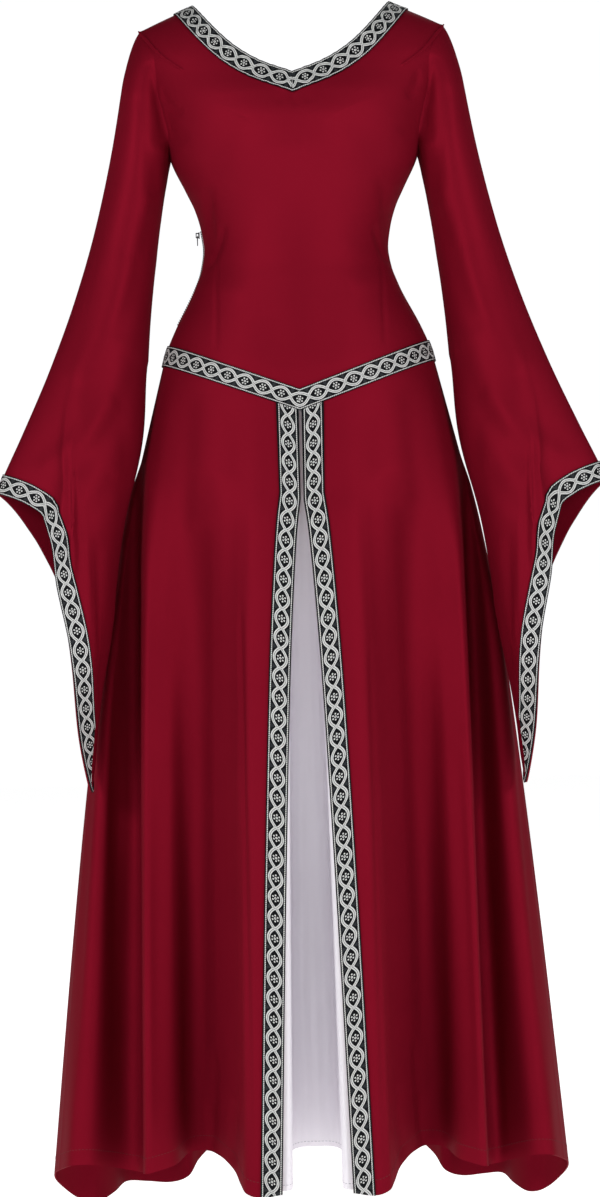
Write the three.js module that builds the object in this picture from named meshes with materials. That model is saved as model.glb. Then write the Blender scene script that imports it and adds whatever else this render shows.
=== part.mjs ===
// A medieval gown with a wide V neck, angel sleeves, a pointed girdle and an open front skirt.
// Millimetres, +Z up, the front faces -Y, and the origin lies midway between the two shoulders.
import * as THREE from "three";

// Cloth, seams and ribbon
const CLOTH_WALL = 1.8;
const INSET_WALL = 1.5;
const RIBBON_WALL = 1.0;
const RIBBON_WIDTH = 24;
const SEAM_GAP = 0.3;
const RIBBON_LIFT = 0.8;
const INSET_LIFT = 0.6;

// Levels of the shoulder line, of the roll of the shoulder and of the girdle line
const NECK_POINT_X = 118;
const NECK_POINT_Z = 2;
const SHOULDER_SLOPE = 0.42;
const SHOULDER_ROLL_Z = -75;
const GIRDLE_SIDE_Z = -416;
const GIRDLE_POINT_Z = -480;
const SIDE_SEAM_DEG = 90;
const BACK_SEAM_DEG = 180;

// The body of the gown: level sections, half width and depth to the front and to the back
const BODY = [
  { z: 10, half: 190, front: 72, back: 68 },
  { z: -60, half: 188, front: 86, back: 76 },
  { z: -90, half: 178, front: 98, back: 82 },
  { z: -124, half: 165, front: 113, back: 86 },
  { z: -154, half: 155, front: 119, back: 88 },
  { z: -183, half: 147.5, front: 118, back: 88 },
  { z: -218, half: 131, front: 109, back: 84 },
  { z: -242, half: 120, front: 102, back: 81 },
  { z: -266, half: 113.4, front: 98, back: 80 },
  { z: -290, half: 110.4, front: 97, back: 81 },
  { z: -314, half: 114, front: 98, back: 84 },
  { z: -338, half: 123, front: 101, back: 90 },
  { z: -386, half: 147.6, front: 107, back: 103 },
  { z: -410, half: 157.8, front: 110, back: 110 },
  { z: -434, half: 165, front: 113, back: 115 },
  { z: -482, half: 176.4, front: 116, back: 124 },
];

// The hip of the skirt, reached at this share of the skirt's drop
const HIP_SHARE = 0.13;
const HIP_HALF = 191;
const HIP_FRONT = 136;
const HIP_BACK = 140;

// How far the skirt has opened from the hip to the hem, by share of the way down
const FLARE = [
  { down: 0, open: 0 },
  { down: 0.04, open: 0.11 },
  { down: 0.116, open: 0.24 },
  { down: 0.25, open: 0.41 },
  { down: 0.47, open: 0.61 },
  { down: 0.7, open: 0.79 },
  { down: 1, open: 1 },
];

// Fold lines of a front skirt panel from its opening edge to the side seam: the angle round the
// body at the girdle and at the hip, and the place at the hem
const FRONT_FOLDS = [
  { top: 0.5, hip: 0.5, x: 40, y: -188, z: -1375 },
  { top: 9.2, hip: 7.8, x: 64.5, y: -193, z: -1377 },
  { top: 19, hip: 17.5, x: 80, y: -186, z: -1374 },
  { top: 23.5, hip: 21.5, x: 86.5, y: -170, z: -1368 },
  { top: 26, hip: 24.5, x: 93, y: -148, z: -1359 },
  { top: 29, hip: 28, x: 101, y: -124, z: -1355 },
  { top: 33, hip: 32, x: 112, y: -98, z: -1352 },
  { top: 40, hip: 39, x: 128, y: -74, z: -1352 },
  { top: 49, hip: 48, x: 143, y: -66, z: -1355 },
  { top: 59, hip: 59, x: 161, y: -99, z: -1360 },
  { top: 67, hip: 67.5, x: 191, y: -121, z: -1364 },
  { top: 71, hip: 72, x: 199, y: -106, z: -1368 },
  { top: 73.5, hip: 74.5, x: 201, y: -74, z: -1376 },
  { top: 76, hip: 77, x: 207, y: -36, z: -1384 },
  { top: 78.5, hip: 79.5, x: 219, y: -18, z: -1386 },
  { top: 81, hip: 82, x: 238, y: -28, z: -1379 },
  { top: 83.5, hip: 84.5, x: 262, y: -54, z: -1369 },
  { top: 86.5, hip: 87, x: 284, y: -53, z: -1370 },
  { top: 90, hip: 90, x: 301, y: -22, z: -1382 },
];

// Fold lines of the back skirt panel from a side seam to the centre back
const BACK_FOLDS = [
  { top: 90, hip: 90, x: 301, y: -22, z: -1382 },
  { top: 92.5, hip: 92.5, x: 309, y: 2, z: -1392 },
  { top: 96.5, hip: 96.5, x: 308, y: 32, z: -1410 },
  { top: 102, hip: 102, x: 288, y: 60, z: -1436 },
  { top: 108, hip: 108, x: 266, y: 69, z: -1443 },
  { top: 114, hip: 114, x: 249, y: 92, z: -1438 },
  { top: 120, hip: 120, x: 237, y: 128, z: -1434 },
  { top: 127, hip: 127, x: 213, y: 151, z: -1440 },
  { top: 135, hip: 135, x: 184, y: 147, z: -1441 },
  { top: 142, hip: 142, x: 163, y: 136, z: -1432 },
  { top: 148, hip: 148, x: 150, y: 154, z: -1414 },
  { top: 155, hip: 155, x: 129, y: 184, z: -1402 },
  { top: 163, hip: 163, x: 97, y: 196, z: -1398 },
  { top: 171, hip: 171, x: 55, y: 182, z: -1396 },
  { top: 180, hip: 180, x: 0, y: 170, z: -1395 },
];

// Fold lines of the inset from the centre to one side: half width at the top, place at the hem
const INSET_FOLDS = [
  { top: 0, x: 0, y: -47, z: -1355 },
  { top: 3, x: 17, y: -49, z: -1355 },
  { top: 5.5, x: 29, y: -60, z: -1357 },
  { top: 8, x: 32, y: -92, z: -1362 },
  { top: 10.5, x: 30, y: -135, z: -1367 },
  { top: 13, x: 28, y: -168, z: -1371 },
  { top: 15.5, x: 31, y: -182, z: -1372 },
  { top: 19, x: 42, y: -184.5, z: -1372 },
  { top: 23, x: 57, y: -187, z: -1372 },
];

// Each side opens out by its own amount towards the side seam, where the cloth hangs unevenly
const SIDE_SPREAD = { left: 1.022, right: 0.978 };
const SPREAD_FROM_X = 150;
const SPREAD_FULL_X = 300;

// The front neckline from its point to the neck point, and the back neckline, seen from the front
const FRONT_NECK = [
  { at: 0, x: 0, z: -100 },
  { at: 0.22, x: 35, z: -85 },
  { at: 0.4, x: 60.5, z: -68 },
  { at: 0.56, x: 79.5, z: -50 },
  { at: 0.79, x: 102, z: -22 },
  { at: 1, x: 118, z: 2 },
];
const BACK_NECK = [
  { at: 0, x: 0, z: -92 },
  { at: 0.22, x: 35, z: -86 },
  { at: 0.4, x: 62, z: -71 },
  { at: 0.56, x: 82, z: -51 },
  { at: 0.79, x: 104, z: -20 },
  { at: 1, x: 118, z: 2 },
];

// The armhole from the shoulder tip to the armpit, seen from the front
const ARMHOLE = [
  { at: 0, x: 182, z: -25 },
  { at: 0.16, x: 168, z: -46 },
  { at: 0.36, x: 161.5, z: -76 },
  { at: 0.54, x: 160, z: -104 },
  { at: 0.68, x: 155, z: -126 },
  { at: 0.86, x: 148.5, z: -156 },
  { at: 1, x: 147.5, z: -181 },
];
const SHOULDER_SHARE = 0.16;
const ARMHOLE_SHARE = 0.5;

// Rings of a sleeve from the armhole to the cuff: outer and inner point seen from the front,
// depth to the front and back, and how far the ring's middle lies from the plane of the shoulders
const SLEEVE = [
  { down: 0, outX: 182, outZ: -25, inX: 147.5, inZ: -181, front: 40, back: 38, mid: 0 },
  { down: 0.05, outX: 197, outZ: -49, inX: 149.5, inZ: -190, front: 50, back: 46, mid: 0 },
  { down: 0.12, outX: 204, outZ: -90, inX: 152, inZ: -205, front: 54, back: 50, mid: 0 },
  { down: 0.25, outX: 218, outZ: -168, inX: 161, inZ: -262, front: 52, back: 50, mid: -2 },
  { down: 0.4, outX: 240, outZ: -265, inX: 175.5, inZ: -371, front: 48, back: 48, mid: -11 },
  { down: 0.55, outX: 265, outZ: -352, inX: 185, inZ: -501, front: 47, back: 47, mid: -29 },
  { down: 0.7, outX: 293, outZ: -432, inX: 211, inZ: -638, front: 48, back: 47, mid: -50 },
  { down: 0.85, outX: 325, outZ: -506, inX: 232, inZ: -786, front: 50, back: 45, mid: -60 },
  { down: 0.94, outX: 346, outZ: -551, inX: 245, inZ: -880, front: 49, back: 42, mid: -64 },
  { down: 1, outX: 357, outZ: -578, inX: 254, inZ: -930, front: 48, back: 40, mid: -66 },
];
const SLEEVE_ROWS = [0, 0.05, 0.12, 0.24, 0.36, 0.48, 0.6, 0.72, 0.83, 0.92, 1];
const SLEEVE_COLUMNS = 28;

// How far the cuff's edge bows in from the straight line between its two ends, and how the sleeve
// grows from the armhole
const CUFF_BOW = [
  { at: 0, front: 0, back: 0 },
  { at: 0.034, front: 18, back: 7 },
  { at: 0.0725, front: 34, back: 13 },
  { at: 0.125, front: 47, back: 19 },
  { at: 0.2, front: 47, back: 26 },
  { at: 0.353, front: 38, back: 33 },
  { at: 0.5, front: 33, back: 32 },
  { at: 0.6, front: 27, back: 28 },
  { at: 0.84, front: 8, back: 9 },
  { at: 1, front: 0, back: 0 },
];
const CUFF_BOW_POWER = 3;
const SLEEVE_HEAD = 0.12;
const SLEEVE_OFFSET = 0.9;

// The cuff's band of full ribbon width: the row at which it starts, the share of the plain sleeve
// that this row stands for, where the cloth begins to turn to it, and its least width at the tip
const BAND_ROW = 0.92;
const BAND_FROM = 0.93;
const BAND_TURN = 0.78;
const BAND_LEAST = 3;
const BACK_BAND_RATIO = 0.5;
const BAND_SLOPE_FROM = 0.96;
const FOLD_SAMPLES = 120;
const FOLD_FROM = 0.4;

// Side zip: a closed chain on the seam, its slider and the pull tab that hangs from it
const ZIP_CHAIN_WIDTH = 3.2;
const ZIP_CHAIN_THICK = 1.2;
const ZIP_LIFT = 0.5;
const SLIDER_WIDTH = 3.6;
const SLIDER_PLATE = 1.6;
const SLIDER_LENGTH = 8;
const SLIDER_DROP = 1;
const BRIDGE_LENGTH = 6;
const BRIDGE_REACH = 3;
const BRIDGE_BAR = 0.9;
const PULL_BAR = 1;
const PULL_LENGTH = 11;
const PULL_TONGUE = 3;
const EYE_LENGTH = 3.2;
const HINGE_CLEARANCE = 0.35;

// Number of steps in each grid
const BODICE_COLUMNS = 12;
const ARMHOLE_STEPS = 5;
const ROWS_ABOVE_ARMHOLE = 2;
const BODICE_SIDE_ROWS = [0.56, 0.62, 0.68, 0.74, 0.8, 0.86, 0.92];
const ZIP_FIRST_ROW = 0.68;
const SKIRT_ROWS = [0.07, 0.13, 0.2, 0.28, 0.38, 0.5, 0.62, 0.74, 0.87, 1];
const FRONT_STEPS_PER_FOLD = 2;
const BACK_STEPS_PER_FOLD = 2;
const INSET_STEPS_PER_FOLD = 1;

// Small steps for measuring a surface's slope
const ANGLE_STEP_DEG = 0.6;
const LEVEL_STEP = 1;
const SHARE_STEP = 0.004;
const FOLD_STEP = 0.05;
const DROP_STEP = 0.01;
const ROUND_STEP_DEG = 2;
const EDGE_STEP_DEG = 1;
const FULL_TURN_DEG = 360;

// Places in the tables and grids
const ARMPIT_BLEND = 0.9;
const GRIP_SHARE = 0.1;
const TRIM_COLUMNS = 2;
const GIRDLE_ROW = 1;

const radians = (degrees) => (degrees * Math.PI) / 180;
const mix = (from, to, share) => from + (to - from) * share;
const clamp = (value, low, high) => Math.min(high, Math.max(low, value));

// Smooth rise from 0 to 1
function ease(value) {
  const share = clamp(value, 0, 1);
  return share * share * (3 - 2 * share);
}

// Slope of a table's column at one row, kept from overshooting
function rowSlope(rows, key, column, row) {
  const gap = (low) =>
    (rows[low + 1][column] - rows[low][column]) / (rows[low + 1][key] - rows[low][key]);
  if (row === 0) return gap(0);
  if (row === rows.length - 1) return gap(row - 1);
  const before = gap(row - 1);
  const after = gap(row);
  if (before * after <= 0) return 0;
  return (2 * before * after) / (before + after);
}

// Value of a table's column on a smooth curve through its rows
function along(rows, key, column, at) {
  const falling = rows[0][key] > rows[rows.length - 1][key];
  const low = falling ? rows[rows.length - 1][key] : rows[0][key];
  const high = falling ? rows[0][key] : rows[rows.length - 1][key];
  const place = clamp(at, low, high);
  let row = 0;
  while (
    row < rows.length - 2 &&
    (falling ? place < rows[row + 1][key] : place > rows[row + 1][key])
  )
    row += 1;
  const span = rows[row + 1][key] - rows[row][key];
  const t = (place - rows[row][key]) / span;
  const start = rowSlope(rows, key, column, row) * span;
  const end = rowSlope(rows, key, column, row + 1) * span;
  const t2 = t * t;
  const t3 = t2 * t;
  return (
    rows[row][column] * (2 * t3 - 3 * t2 + 1) +
    start * (t3 - 2 * t2 + t) +
    rows[row + 1][column] * (3 * t2 - 2 * t3) +
    end * (t3 - t2)
  );
}

// Value of a column on a rounded curve through the rows, by row number
function alongFolds(rows, column, place) {
  const last = rows.length - 1;
  const row = Math.min(Math.floor(place), last - 1);
  const value = (number) => {
    if (number < 0) return 2 * rows[0][column] - rows[1][column];
    if (number > last) return 2 * rows[last][column] - rows[last - 1][column];
    return rows[number][column];
  };
  const corners = [row - 1, row, row + 1, row + 2].map(
    (number) => new THREE.Vector2(0, value(number)),
  );
  return new THREE.SplineCurve(corners).getPoint((1 + place - row) / (corners.length - 1)).y;
}

// Height of the shoulder ridge above a point at this distance from the centre
const ridgeHeight = (x) => NECK_POINT_Z - (Math.abs(x) - NECK_POINT_X) * SHOULDER_SLOPE;

// Height of the girdle line: pointed at the front, level round the back
function girdleHeight(angleDeg) {
  const away = Math.min(Math.abs(angleDeg), SIDE_SEAM_DEG);
  return mix(GIRDLE_POINT_Z, GIRDLE_SIDE_Z, Math.sin(radians(away)));
}

// A point of the body of the gown, 0 degrees at the front, 90 at the side seam, 180 at the back
function bodyPoint(angleDeg, z, inward = 0) {
  const angle = radians(angleDeg);
  const x = (along(BODY, "z", "half", z) - inward) * Math.sin(angle);
  const facing = Math.cos(angle) > 0 ? "front" : "back";
  const over = (z - SHOULDER_ROLL_Z) / (ridgeHeight(x) - SHOULDER_ROLL_Z);
  const roll = z > SHOULDER_ROLL_Z ? Math.sqrt(Math.max(0, 1 - over * over)) : 1;
  const y = -(along(BODY, "z", facing, z) - inward) * Math.cos(angle) * roll;
  return new THREE.Vector3(x, y, z);
}

// Outward normal of the body of the gown
function bodyNormal(angleDeg, z) {
  const middle = clamp(Math.abs(angleDeg), ANGLE_STEP_DEG, BACK_SEAM_DEG - ANGLE_STEP_DEG);
  const signed = angleDeg < 0 ? -middle : middle;
  const round = bodyPoint(signed + ANGLE_STEP_DEG, z).sub(bodyPoint(signed - ANGLE_STEP_DEG, z));
  const up = bodyPoint(angleDeg, z).sub(bodyPoint(angleDeg, z - LEVEL_STEP));
  return round.cross(up).normalize();
}

// Angle round the body of a point that lies this far from the centre at this level
function angleAt(x, z) {
  const ratio = clamp(x / along(BODY, "z", "half", z), -1, 1);
  return THREE.MathUtils.radToDeg(Math.asin(ratio));
}

// The outer edge of half a bodice panel, from the neck point down to the girdle, by share
function bodiceOuterEdge(share) {
  if (share < SHOULDER_SHARE) {
    const x = mix(NECK_POINT_X, ARMHOLE[0].x, share / SHOULDER_SHARE);
    const z = ridgeHeight(x);
    return { angle: angleAt(x, z), z };
  }
  if (share < ARMHOLE_SHARE) {
    const at = (share - SHOULDER_SHARE) / (ARMHOLE_SHARE - SHOULDER_SHARE);
    return armholePlace(at);
  }
  const armpit = ARMHOLE[ARMHOLE.length - 1].z;
  const down = (share - ARMHOLE_SHARE) / (1 - ARMHOLE_SHARE);
  return { angle: SIDE_SEAM_DEG, z: mix(armpit, GIRDLE_SIDE_Z, down) };
}

// A place on the armhole, from the shoulder tip to the armpit
function armholePlace(at) {
  const z = along(ARMHOLE, "at", "z", at);
  const angle = mix(
    angleAt(along(ARMHOLE, "at", "x", at), z),
    SIDE_SEAM_DEG,
    ease((at - ARMPIT_BLEND) / (1 - ARMPIT_BLEND)),
  );
  return { angle, z };
}

// A place on half a bodice panel: across from the centre to the side, down from neck to girdle.
// Its angle is counted from the middle of the front or of the back
function bodicePlace(facing, across, down) {
  const neckRows = facing === "front" ? FRONT_NECK : BACK_NECK;
  const neck = (share) => {
    const z = along(neckRows, "at", "z", share);
    return { angle: angleAt(along(neckRows, "at", "x", share), z), z };
  };
  const girdle = (share) => {
    const angle = share * SIDE_SEAM_DEG;
    return { angle, z: facing === "front" ? girdleHeight(angle) : GIRDLE_SIDE_Z };
  };
  const outer = bodiceOuterEdge(down);
  const centre = { angle: 0, z: mix(neck(0).z, girdle(0).z, down) };
  const blend = (key) => {
    const neckToGirdle = mix(neck(across)[key], girdle(across)[key], down);
    const centreToSide = mix(centre[key], outer[key], across);
    const atCentre = mix(neck(0)[key], girdle(0)[key], down);
    const atSide = mix(neck(1)[key], girdle(1)[key], down);
    return neckToGirdle + centreToSide - mix(atCentre, atSide, across);
  };
  return { angle: blend("angle"), z: blend("z") };
}

// Share of the way down a bodice column at which a ribbon of full width ends
function ribbonShare(place, width) {
  let share = 0;
  let run = 0;
  let last = place(0);
  while (run < width && share < 1) {
    share += SHARE_STEP;
    const next = place(share);
    run += next.distanceTo(last);
    last = next;
  }
  return share;
}

// Grid of a whole bodice panel: each entry is a point of the outer face and its normal
function bodiceGrid(facing) {
  const turn = (angle) => (facing === "front" ? angle : BACK_SEAM_DEG - angle);
  const shift = facing === "front" ? -SEAM_GAP / 2 : SEAM_GAP / 2;
  const armholeSteps = ARMHOLE_STEPS / (ARMHOLE_SHARE - SHOULDER_SHARE);
  const grid = [];
  for (let column = -BODICE_COLUMNS; column <= BODICE_COLUMNS; column += 1) {
    const across = Math.abs(column) / BODICE_COLUMNS;
    const sign = column < 0 ? -1 : 1;
    const surface = (down) => {
      const place = bodicePlace(facing, across, down);
      return { angle: turn(place.angle) * sign, z: place.z };
    };
    const point = (down) => {
      const place = surface(down);
      return bodyPoint(place.angle, place.z);
    };
    const under = ribbonShare(point, RIBBON_WIDTH);
    const armholeRows = steps(SHOULDER_SHARE, ARMHOLE_SHARE, armholeSteps);
    const lowest = point(1 - GRIP_SHARE).distanceTo(point(1));
    const grip = (GRIP_SHARE * RIBBON_WIDTH) / 2 / lowest;
    const shares = [0, under, ...armholeRows, ...BODICE_SIDE_ROWS, 1 - grip, 1];
    const line = shares.map((down) => {
      const place = surface(down);
      const at = bodyPoint(place.angle, place.z);
      at.y += shift;
      if (down === 1) at.z += SEAM_GAP / 2;
      const normal = bodyNormal(place.angle, place.z);
      const onSeam = down <= SHOULDER_SHARE || down >= ARMHOLE_SHARE;
      if (across === 1 && onSeam) normal.setY(0).normalize();
      return { at, normal };
    });
    grid.push(line);
  }
  return facing === "front" ? grid : grid.reverse();
}

// A point of the skirt on one fold line, at a share of its drop
function skirtPoint(folds, side, place, down) {
  const facingBack = folds === BACK_FOLDS;
  const sign = side === "left" ? -1 : 1;
  const topAngle = alongFolds(folds, "top", place);
  const hipAngle = radians(alongFolds(folds, "hip", place));
  const top = bodyPoint(topAngle, girdleHeight(topAngle));
  const hipDepth = Math.cos(hipAngle) > 0 ? HIP_FRONT : HIP_BACK;
  const hemX = alongFolds(folds, "x", place);
  const spread = ease((hemX - SPREAD_FROM_X) / (SPREAD_FULL_X - SPREAD_FROM_X));
  const hem = {
    x: hemX * mix(1, SIDE_SPREAD[side], spread),
    y: alongFolds(folds, "y", place),
    z: alongFolds(folds, "z", place),
  };
  const overHip = clamp(down / HIP_SHARE, 0, 1);
  const open = along(FLARE, "down", "open", (down - HIP_SHARE) / (1 - HIP_SHARE));
  const hip = { x: HIP_HALF * Math.sin(hipAngle), y: -hipDepth * Math.cos(hipAngle) };
  const x = mix(mix(top.x, hip.x, overHip), hem.x, open);
  const seam = facingBack ? SEAM_GAP / 2 : -SEAM_GAP / 2;
  const y = mix(mix(top.y, hip.y, overHip), hem.y, open) + seam;
  const z = mix(top.z - SEAM_GAP / 2, hem.z, down);
  return new THREE.Vector3(x * sign, y, z);
}

// Outward normal of a surface given as point(across, down), where across runs to the right
// as seen from outside
function surfaceNormal(point, across, down, lowAcross, highAcross) {
  const left = clamp(across - FOLD_STEP, lowAcross, highAcross);
  const right = clamp(across + FOLD_STEP, lowAcross, highAcross);
  const upper = clamp(down - DROP_STEP, 0, 1);
  const lower = clamp(down + DROP_STEP, 0, 1);
  const round = point(right, down).sub(point(left, down));
  const fall = point(across, lower).sub(point(across, upper));
  return fall.cross(round).normalize();
}

// Shares of the skirt's drop at which its rows lie, the first at the lower edge of the girdle
function skirtShares(point, across) {
  const under = ribbonShare((down) => point(across, down), RIBBON_WIDTH / 2);
  return [0, under, ...SKIRT_ROWS];
}

// Grid of a surface given as point(across, down)
function surfaceGrid(point, columns) {
  const low = columns[0];
  const high = columns[columns.length - 1];
  return columns.map((across) =>
    skirtShares(point, across).map((down) => ({
      at: point(across, down),
      normal: surfaceNormal(point, across, down, low, high),
    })),
  );
}

// Evenly spaced numbers from low to high
function steps(low, high, perUnit) {
  const count = Math.round((high - low) * perUnit);
  return Array.from({ length: count + 1 }, (_, step) => mix(low, high, step / count));
}

// Grid of a front skirt panel, left or right, from left to right as seen from the front
function frontSkirtGrid(side) {
  const last = FRONT_FOLDS.length - 1;
  const onLeft = side === "left";
  const point = (across, down) =>
    skirtPoint(FRONT_FOLDS, side, onLeft ? last - across : across, down);
  return surfaceGrid(point, steps(0, last, FRONT_STEPS_PER_FOLD));
}

// Grid of the back skirt panel, from the right seam round the back to the left seam
function backSkirtGrid() {
  const last = BACK_FOLDS.length - 1;
  const point = (across, down) =>
    across <= last
      ? skirtPoint(BACK_FOLDS, "right", across, down)
      : skirtPoint(BACK_FOLDS, "left", 2 * last - across, down);
  return surfaceGrid(point, steps(0, 2 * last, BACK_STEPS_PER_FOLD));
}

// Gives the two panels that meet at a seam the same normals there
function joinSeam(line, other) {
  line.forEach((entry, row) => {
    const shared = entry.normal.clone().add(other[row].normal).normalize();
    entry.normal.copy(shared);
    other[row].normal.copy(shared);
  });
}

// Grid of the white inset, which starts flat behind the front edges and sinks back below
function insetGrid() {
  const last = INSET_FOLDS.length - 1;
  const inward = CLOTH_WALL + INSET_LIFT;
  const point = (across, down) => {
    const place = Math.abs(across - last);
    const sign = across < last ? -1 : 1;
    const topX = alongFolds(INSET_FOLDS, "top", place);
    const angle = angleAt(topX, GIRDLE_POINT_Z);
    const top = bodyPoint(angle, girdleHeight(angle), inward);
    const hipY = -(HIP_FRONT - inward) * Math.cos(Math.asin(topX / HIP_HALF));
    const overHip = clamp(down / HIP_SHARE, 0, 1);
    const open = along(FLARE, "down", "open", (down - HIP_SHARE) / (1 - HIP_SHARE));
    const x = mix(topX, alongFolds(INSET_FOLDS, "x", place), open);
    const y = mix(mix(top.y, hipY, overHip), alongFolds(INSET_FOLDS, "y", place), open);
    const z = mix(top.z - SEAM_GAP, alongFolds(INSET_FOLDS, "z", place), down);
    return new THREE.Vector3(sign * x, y, z);
  };
  return surfaceGrid(point, steps(0, 2 * last, INSET_STEPS_PER_FOLD));
}

// The edge of the right armhole as the bodice panels have it, straight between their rows
function armholeEdge(overFront, at) {
  const row = Math.min(Math.floor(at * ARMHOLE_STEPS), ARMHOLE_STEPS - 1);
  const corner = (number) => {
    const place = armholePlace(number / ARMHOLE_STEPS);
    const angle = overFront ? place.angle : BACK_SEAM_DEG - place.angle;
    return bodyPoint(angle, place.z);
  };
  const edge = corner(row).lerp(corner(row + 1), at * ARMHOLE_STEPS - row);
  edge.x += SLEEVE_OFFSET;
  return edge;
}

// A point of the right sleeve before its cuff band is squared to the edge: down from the armhole
// to the cuff, round from the outer line over the front, the inner line and the back
function plainSleeve(down, roundDeg) {
  const turn = radians(roundDeg);
  const overFront = Math.sin(turn) >= 0;
  const value = (column) => along(SLEEVE, "down", column, down);
  const outer = new THREE.Vector3(value("outX"), value("mid"), value("outZ"));
  const inner = new THREE.Vector3(value("inX"), value("mid"), value("inZ"));
  const middle = outer.clone().add(inner).multiplyScalar(0.5);
  const reach = outer.clone().sub(middle);
  const depth = overFront ? value("front") : value("back");
  const ring = middle
    .clone()
    .addScaledVector(reach, Math.cos(turn))
    .add(new THREE.Vector3(0, -depth * Math.sin(turn), 0));
  const chord = (1 - Math.cos(turn)) / 2;
  const bow = along(CUFF_BOW, "at", overFront ? "front" : "back", chord);
  const inward = new THREE.Vector3(inner.z - outer.z, 0, outer.x - inner.x).normalize();
  ring.addScaledVector(inward, bow * Math.pow(down, CUFF_BOW_POWER));
  const folded = roundDeg <= BACK_SEAM_DEG ? roundDeg : 2 * BACK_SEAM_DEG - roundDeg;
  const edge = armholeEdge(overFront, folded / BACK_SEAM_DEG);
  return edge.lerp(ring, ease(down / SLEEVE_HEAD));
}

// The inner fold line of the plain sleeve
const innerFold = Array.from({ length: FOLD_SAMPLES }, (_, sample) =>
  plainSleeve(mix(FOLD_FROM, 1, sample / (FOLD_SAMPLES - 1)), BACK_SEAM_DEG),
);

// The cuff's edge, and the upper side of its band, which lies at right angles to the edge and
// narrows to a mitre at the tip
function cuffBand(roundDeg) {
  const edge = plainSleeve(1, roundDeg);
  const after = plainSleeve(1, (roundDeg + EDGE_STEP_DEG) % FULL_TURN_DEG);
  const before = plainSleeve(1, (roundDeg + FULL_TURN_DEG - EDGE_STEP_DEG) % FULL_TURN_DEG);
  const tangent = after.sub(before).normalize();
  const up = plainSleeve(BAND_SLOPE_FROM, roundDeg).sub(edge);
  up.addScaledVector(tangent, -up.dot(tangent)).normalize();
  const away = Math.min(...innerFold.map((place) => Math.hypot(place.x - edge.x, place.z - edge.z)));
  const ratio = roundDeg > BACK_SEAM_DEG ? BACK_BAND_RATIO : 1;
  const width = clamp(away * ratio, BAND_LEAST, RIBBON_WIDTH);
  return { edge, top: edge.clone().addScaledVector(up, width) };
}

// A point of the right sleeve, by row from the armhole to the cuff and by degrees round it
function sleevePoint(row, roundDeg) {
  const band = cuffBand(roundDeg);
  if (row > BAND_ROW) return band.top.lerp(band.edge, (row - BAND_ROW) / (1 - BAND_ROW));
  const above = row / BAND_ROW;
  const turned = ease((above - BAND_TURN) / (1 - BAND_TURN));
  const shift = band.top.sub(plainSleeve(BAND_FROM, roundDeg));
  return plainSleeve(above * BAND_FROM, roundDeg).addScaledVector(shift, turned);
}

// Grid of a sleeve, closed round its tube
function sleeveGrid(side) {
  const sign = side === "left" ? -1 : 1;
  const entry = (row, roundDeg) => {
    const at = sleevePoint(row, roundDeg);
    const before = sleevePoint(row, (roundDeg + FULL_TURN_DEG - ROUND_STEP_DEG) % FULL_TURN_DEG);
    const round = sleevePoint(row, (roundDeg + ROUND_STEP_DEG) % FULL_TURN_DEG).sub(before);
    const upper = sleevePoint(clamp(row - DROP_STEP, 0, 1), roundDeg);
    const fall = sleevePoint(clamp(row + DROP_STEP, 0, 1), roundDeg).sub(upper);
    const normal = round.cross(fall).normalize();
    return {
      at: new THREE.Vector3(at.x * sign, at.y, at.z),
      normal: new THREE.Vector3(normal.x * sign, normal.y, normal.z),
    };
  };
  const columns = Array.from({ length: SLEEVE_COLUMNS }, (_, column) => {
    const roundDeg = (FULL_TURN_DEG * column) / SLEEVE_COLUMNS;
    return SLEEVE_ROWS.map((row) => entry(row, roundDeg));
  });
  return side === "left" ? columns : columns.reverse();
}

// Closed wall between two faces of a grid, out and in along its normals. Columns run to the
// right and rows run down, as seen from outside
function wall(grid, outward, inward, closed = false) {
  const columns = grid.length;
  const rows = grid[0].length;
  const positions = [];
  for (const reach of [outward, inward])
    for (const line of grid)
      for (const entry of line) {
        const corner = entry.at.clone().addScaledVector(entry.normal, reach);
        positions.push(corner.x, corner.y, corner.z);
      }
  const id = (face, column, row) => (face * columns + (column % columns)) * rows + row;
  const index = [];
  const quad = (a, b, c, d) => index.push(a, b, c, a, c, d);
  const spans = closed ? columns : columns - 1;
  const foot = rows - 1;
  for (let column = 0; column < spans; column += 1) {
    const next = column + 1;
    for (let row = 0; row < foot; row += 1) {
      const below = row + 1;
      quad(id(0, column, row), id(0, column, below), id(0, next, below), id(0, next, row));
      quad(id(1, column, row), id(1, next, row), id(1, next, below), id(1, column, below));
    }
    quad(id(0, column, 0), id(0, next, 0), id(1, next, 0), id(1, column, 0));
    quad(id(0, column, foot), id(1, column, foot), id(1, next, foot), id(0, next, foot));
  }
  if (!closed)
    for (let row = 0; row < foot; row += 1) {
      const end = columns - 1;
      quad(id(0, 0, row), id(1, 0, row), id(1, 0, row + 1), id(0, 0, row + 1));
      quad(id(0, end, row), id(0, end, row + 1), id(1, end, row + 1), id(1, end, row));
    }
  const geometry = new THREE.BufferGeometry();
  geometry.setAttribute("position", new THREE.Float32BufferAttribute(positions, 3));
  geometry.setIndex(index);
  return geometry;
}

// Cloth wall that lies behind the outer face of a grid
const clothWall = (grid, thick, closed) => wall(grid, 0, -thick, closed);

// Ribbon that lies on the outer face of a grid
const ribbonWall = (grid, closed) =>
  wall(grid, RIBBON_LIFT + RIBBON_WALL, RIBBON_LIFT, closed);

// Part of a grid: some columns and some rows
const gridPart = (grid, fromColumn, toColumn, fromRow, toRow) =>
  grid.slice(fromColumn, toColumn + 1).map((line) => line.slice(fromRow, toRow + 1));

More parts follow.
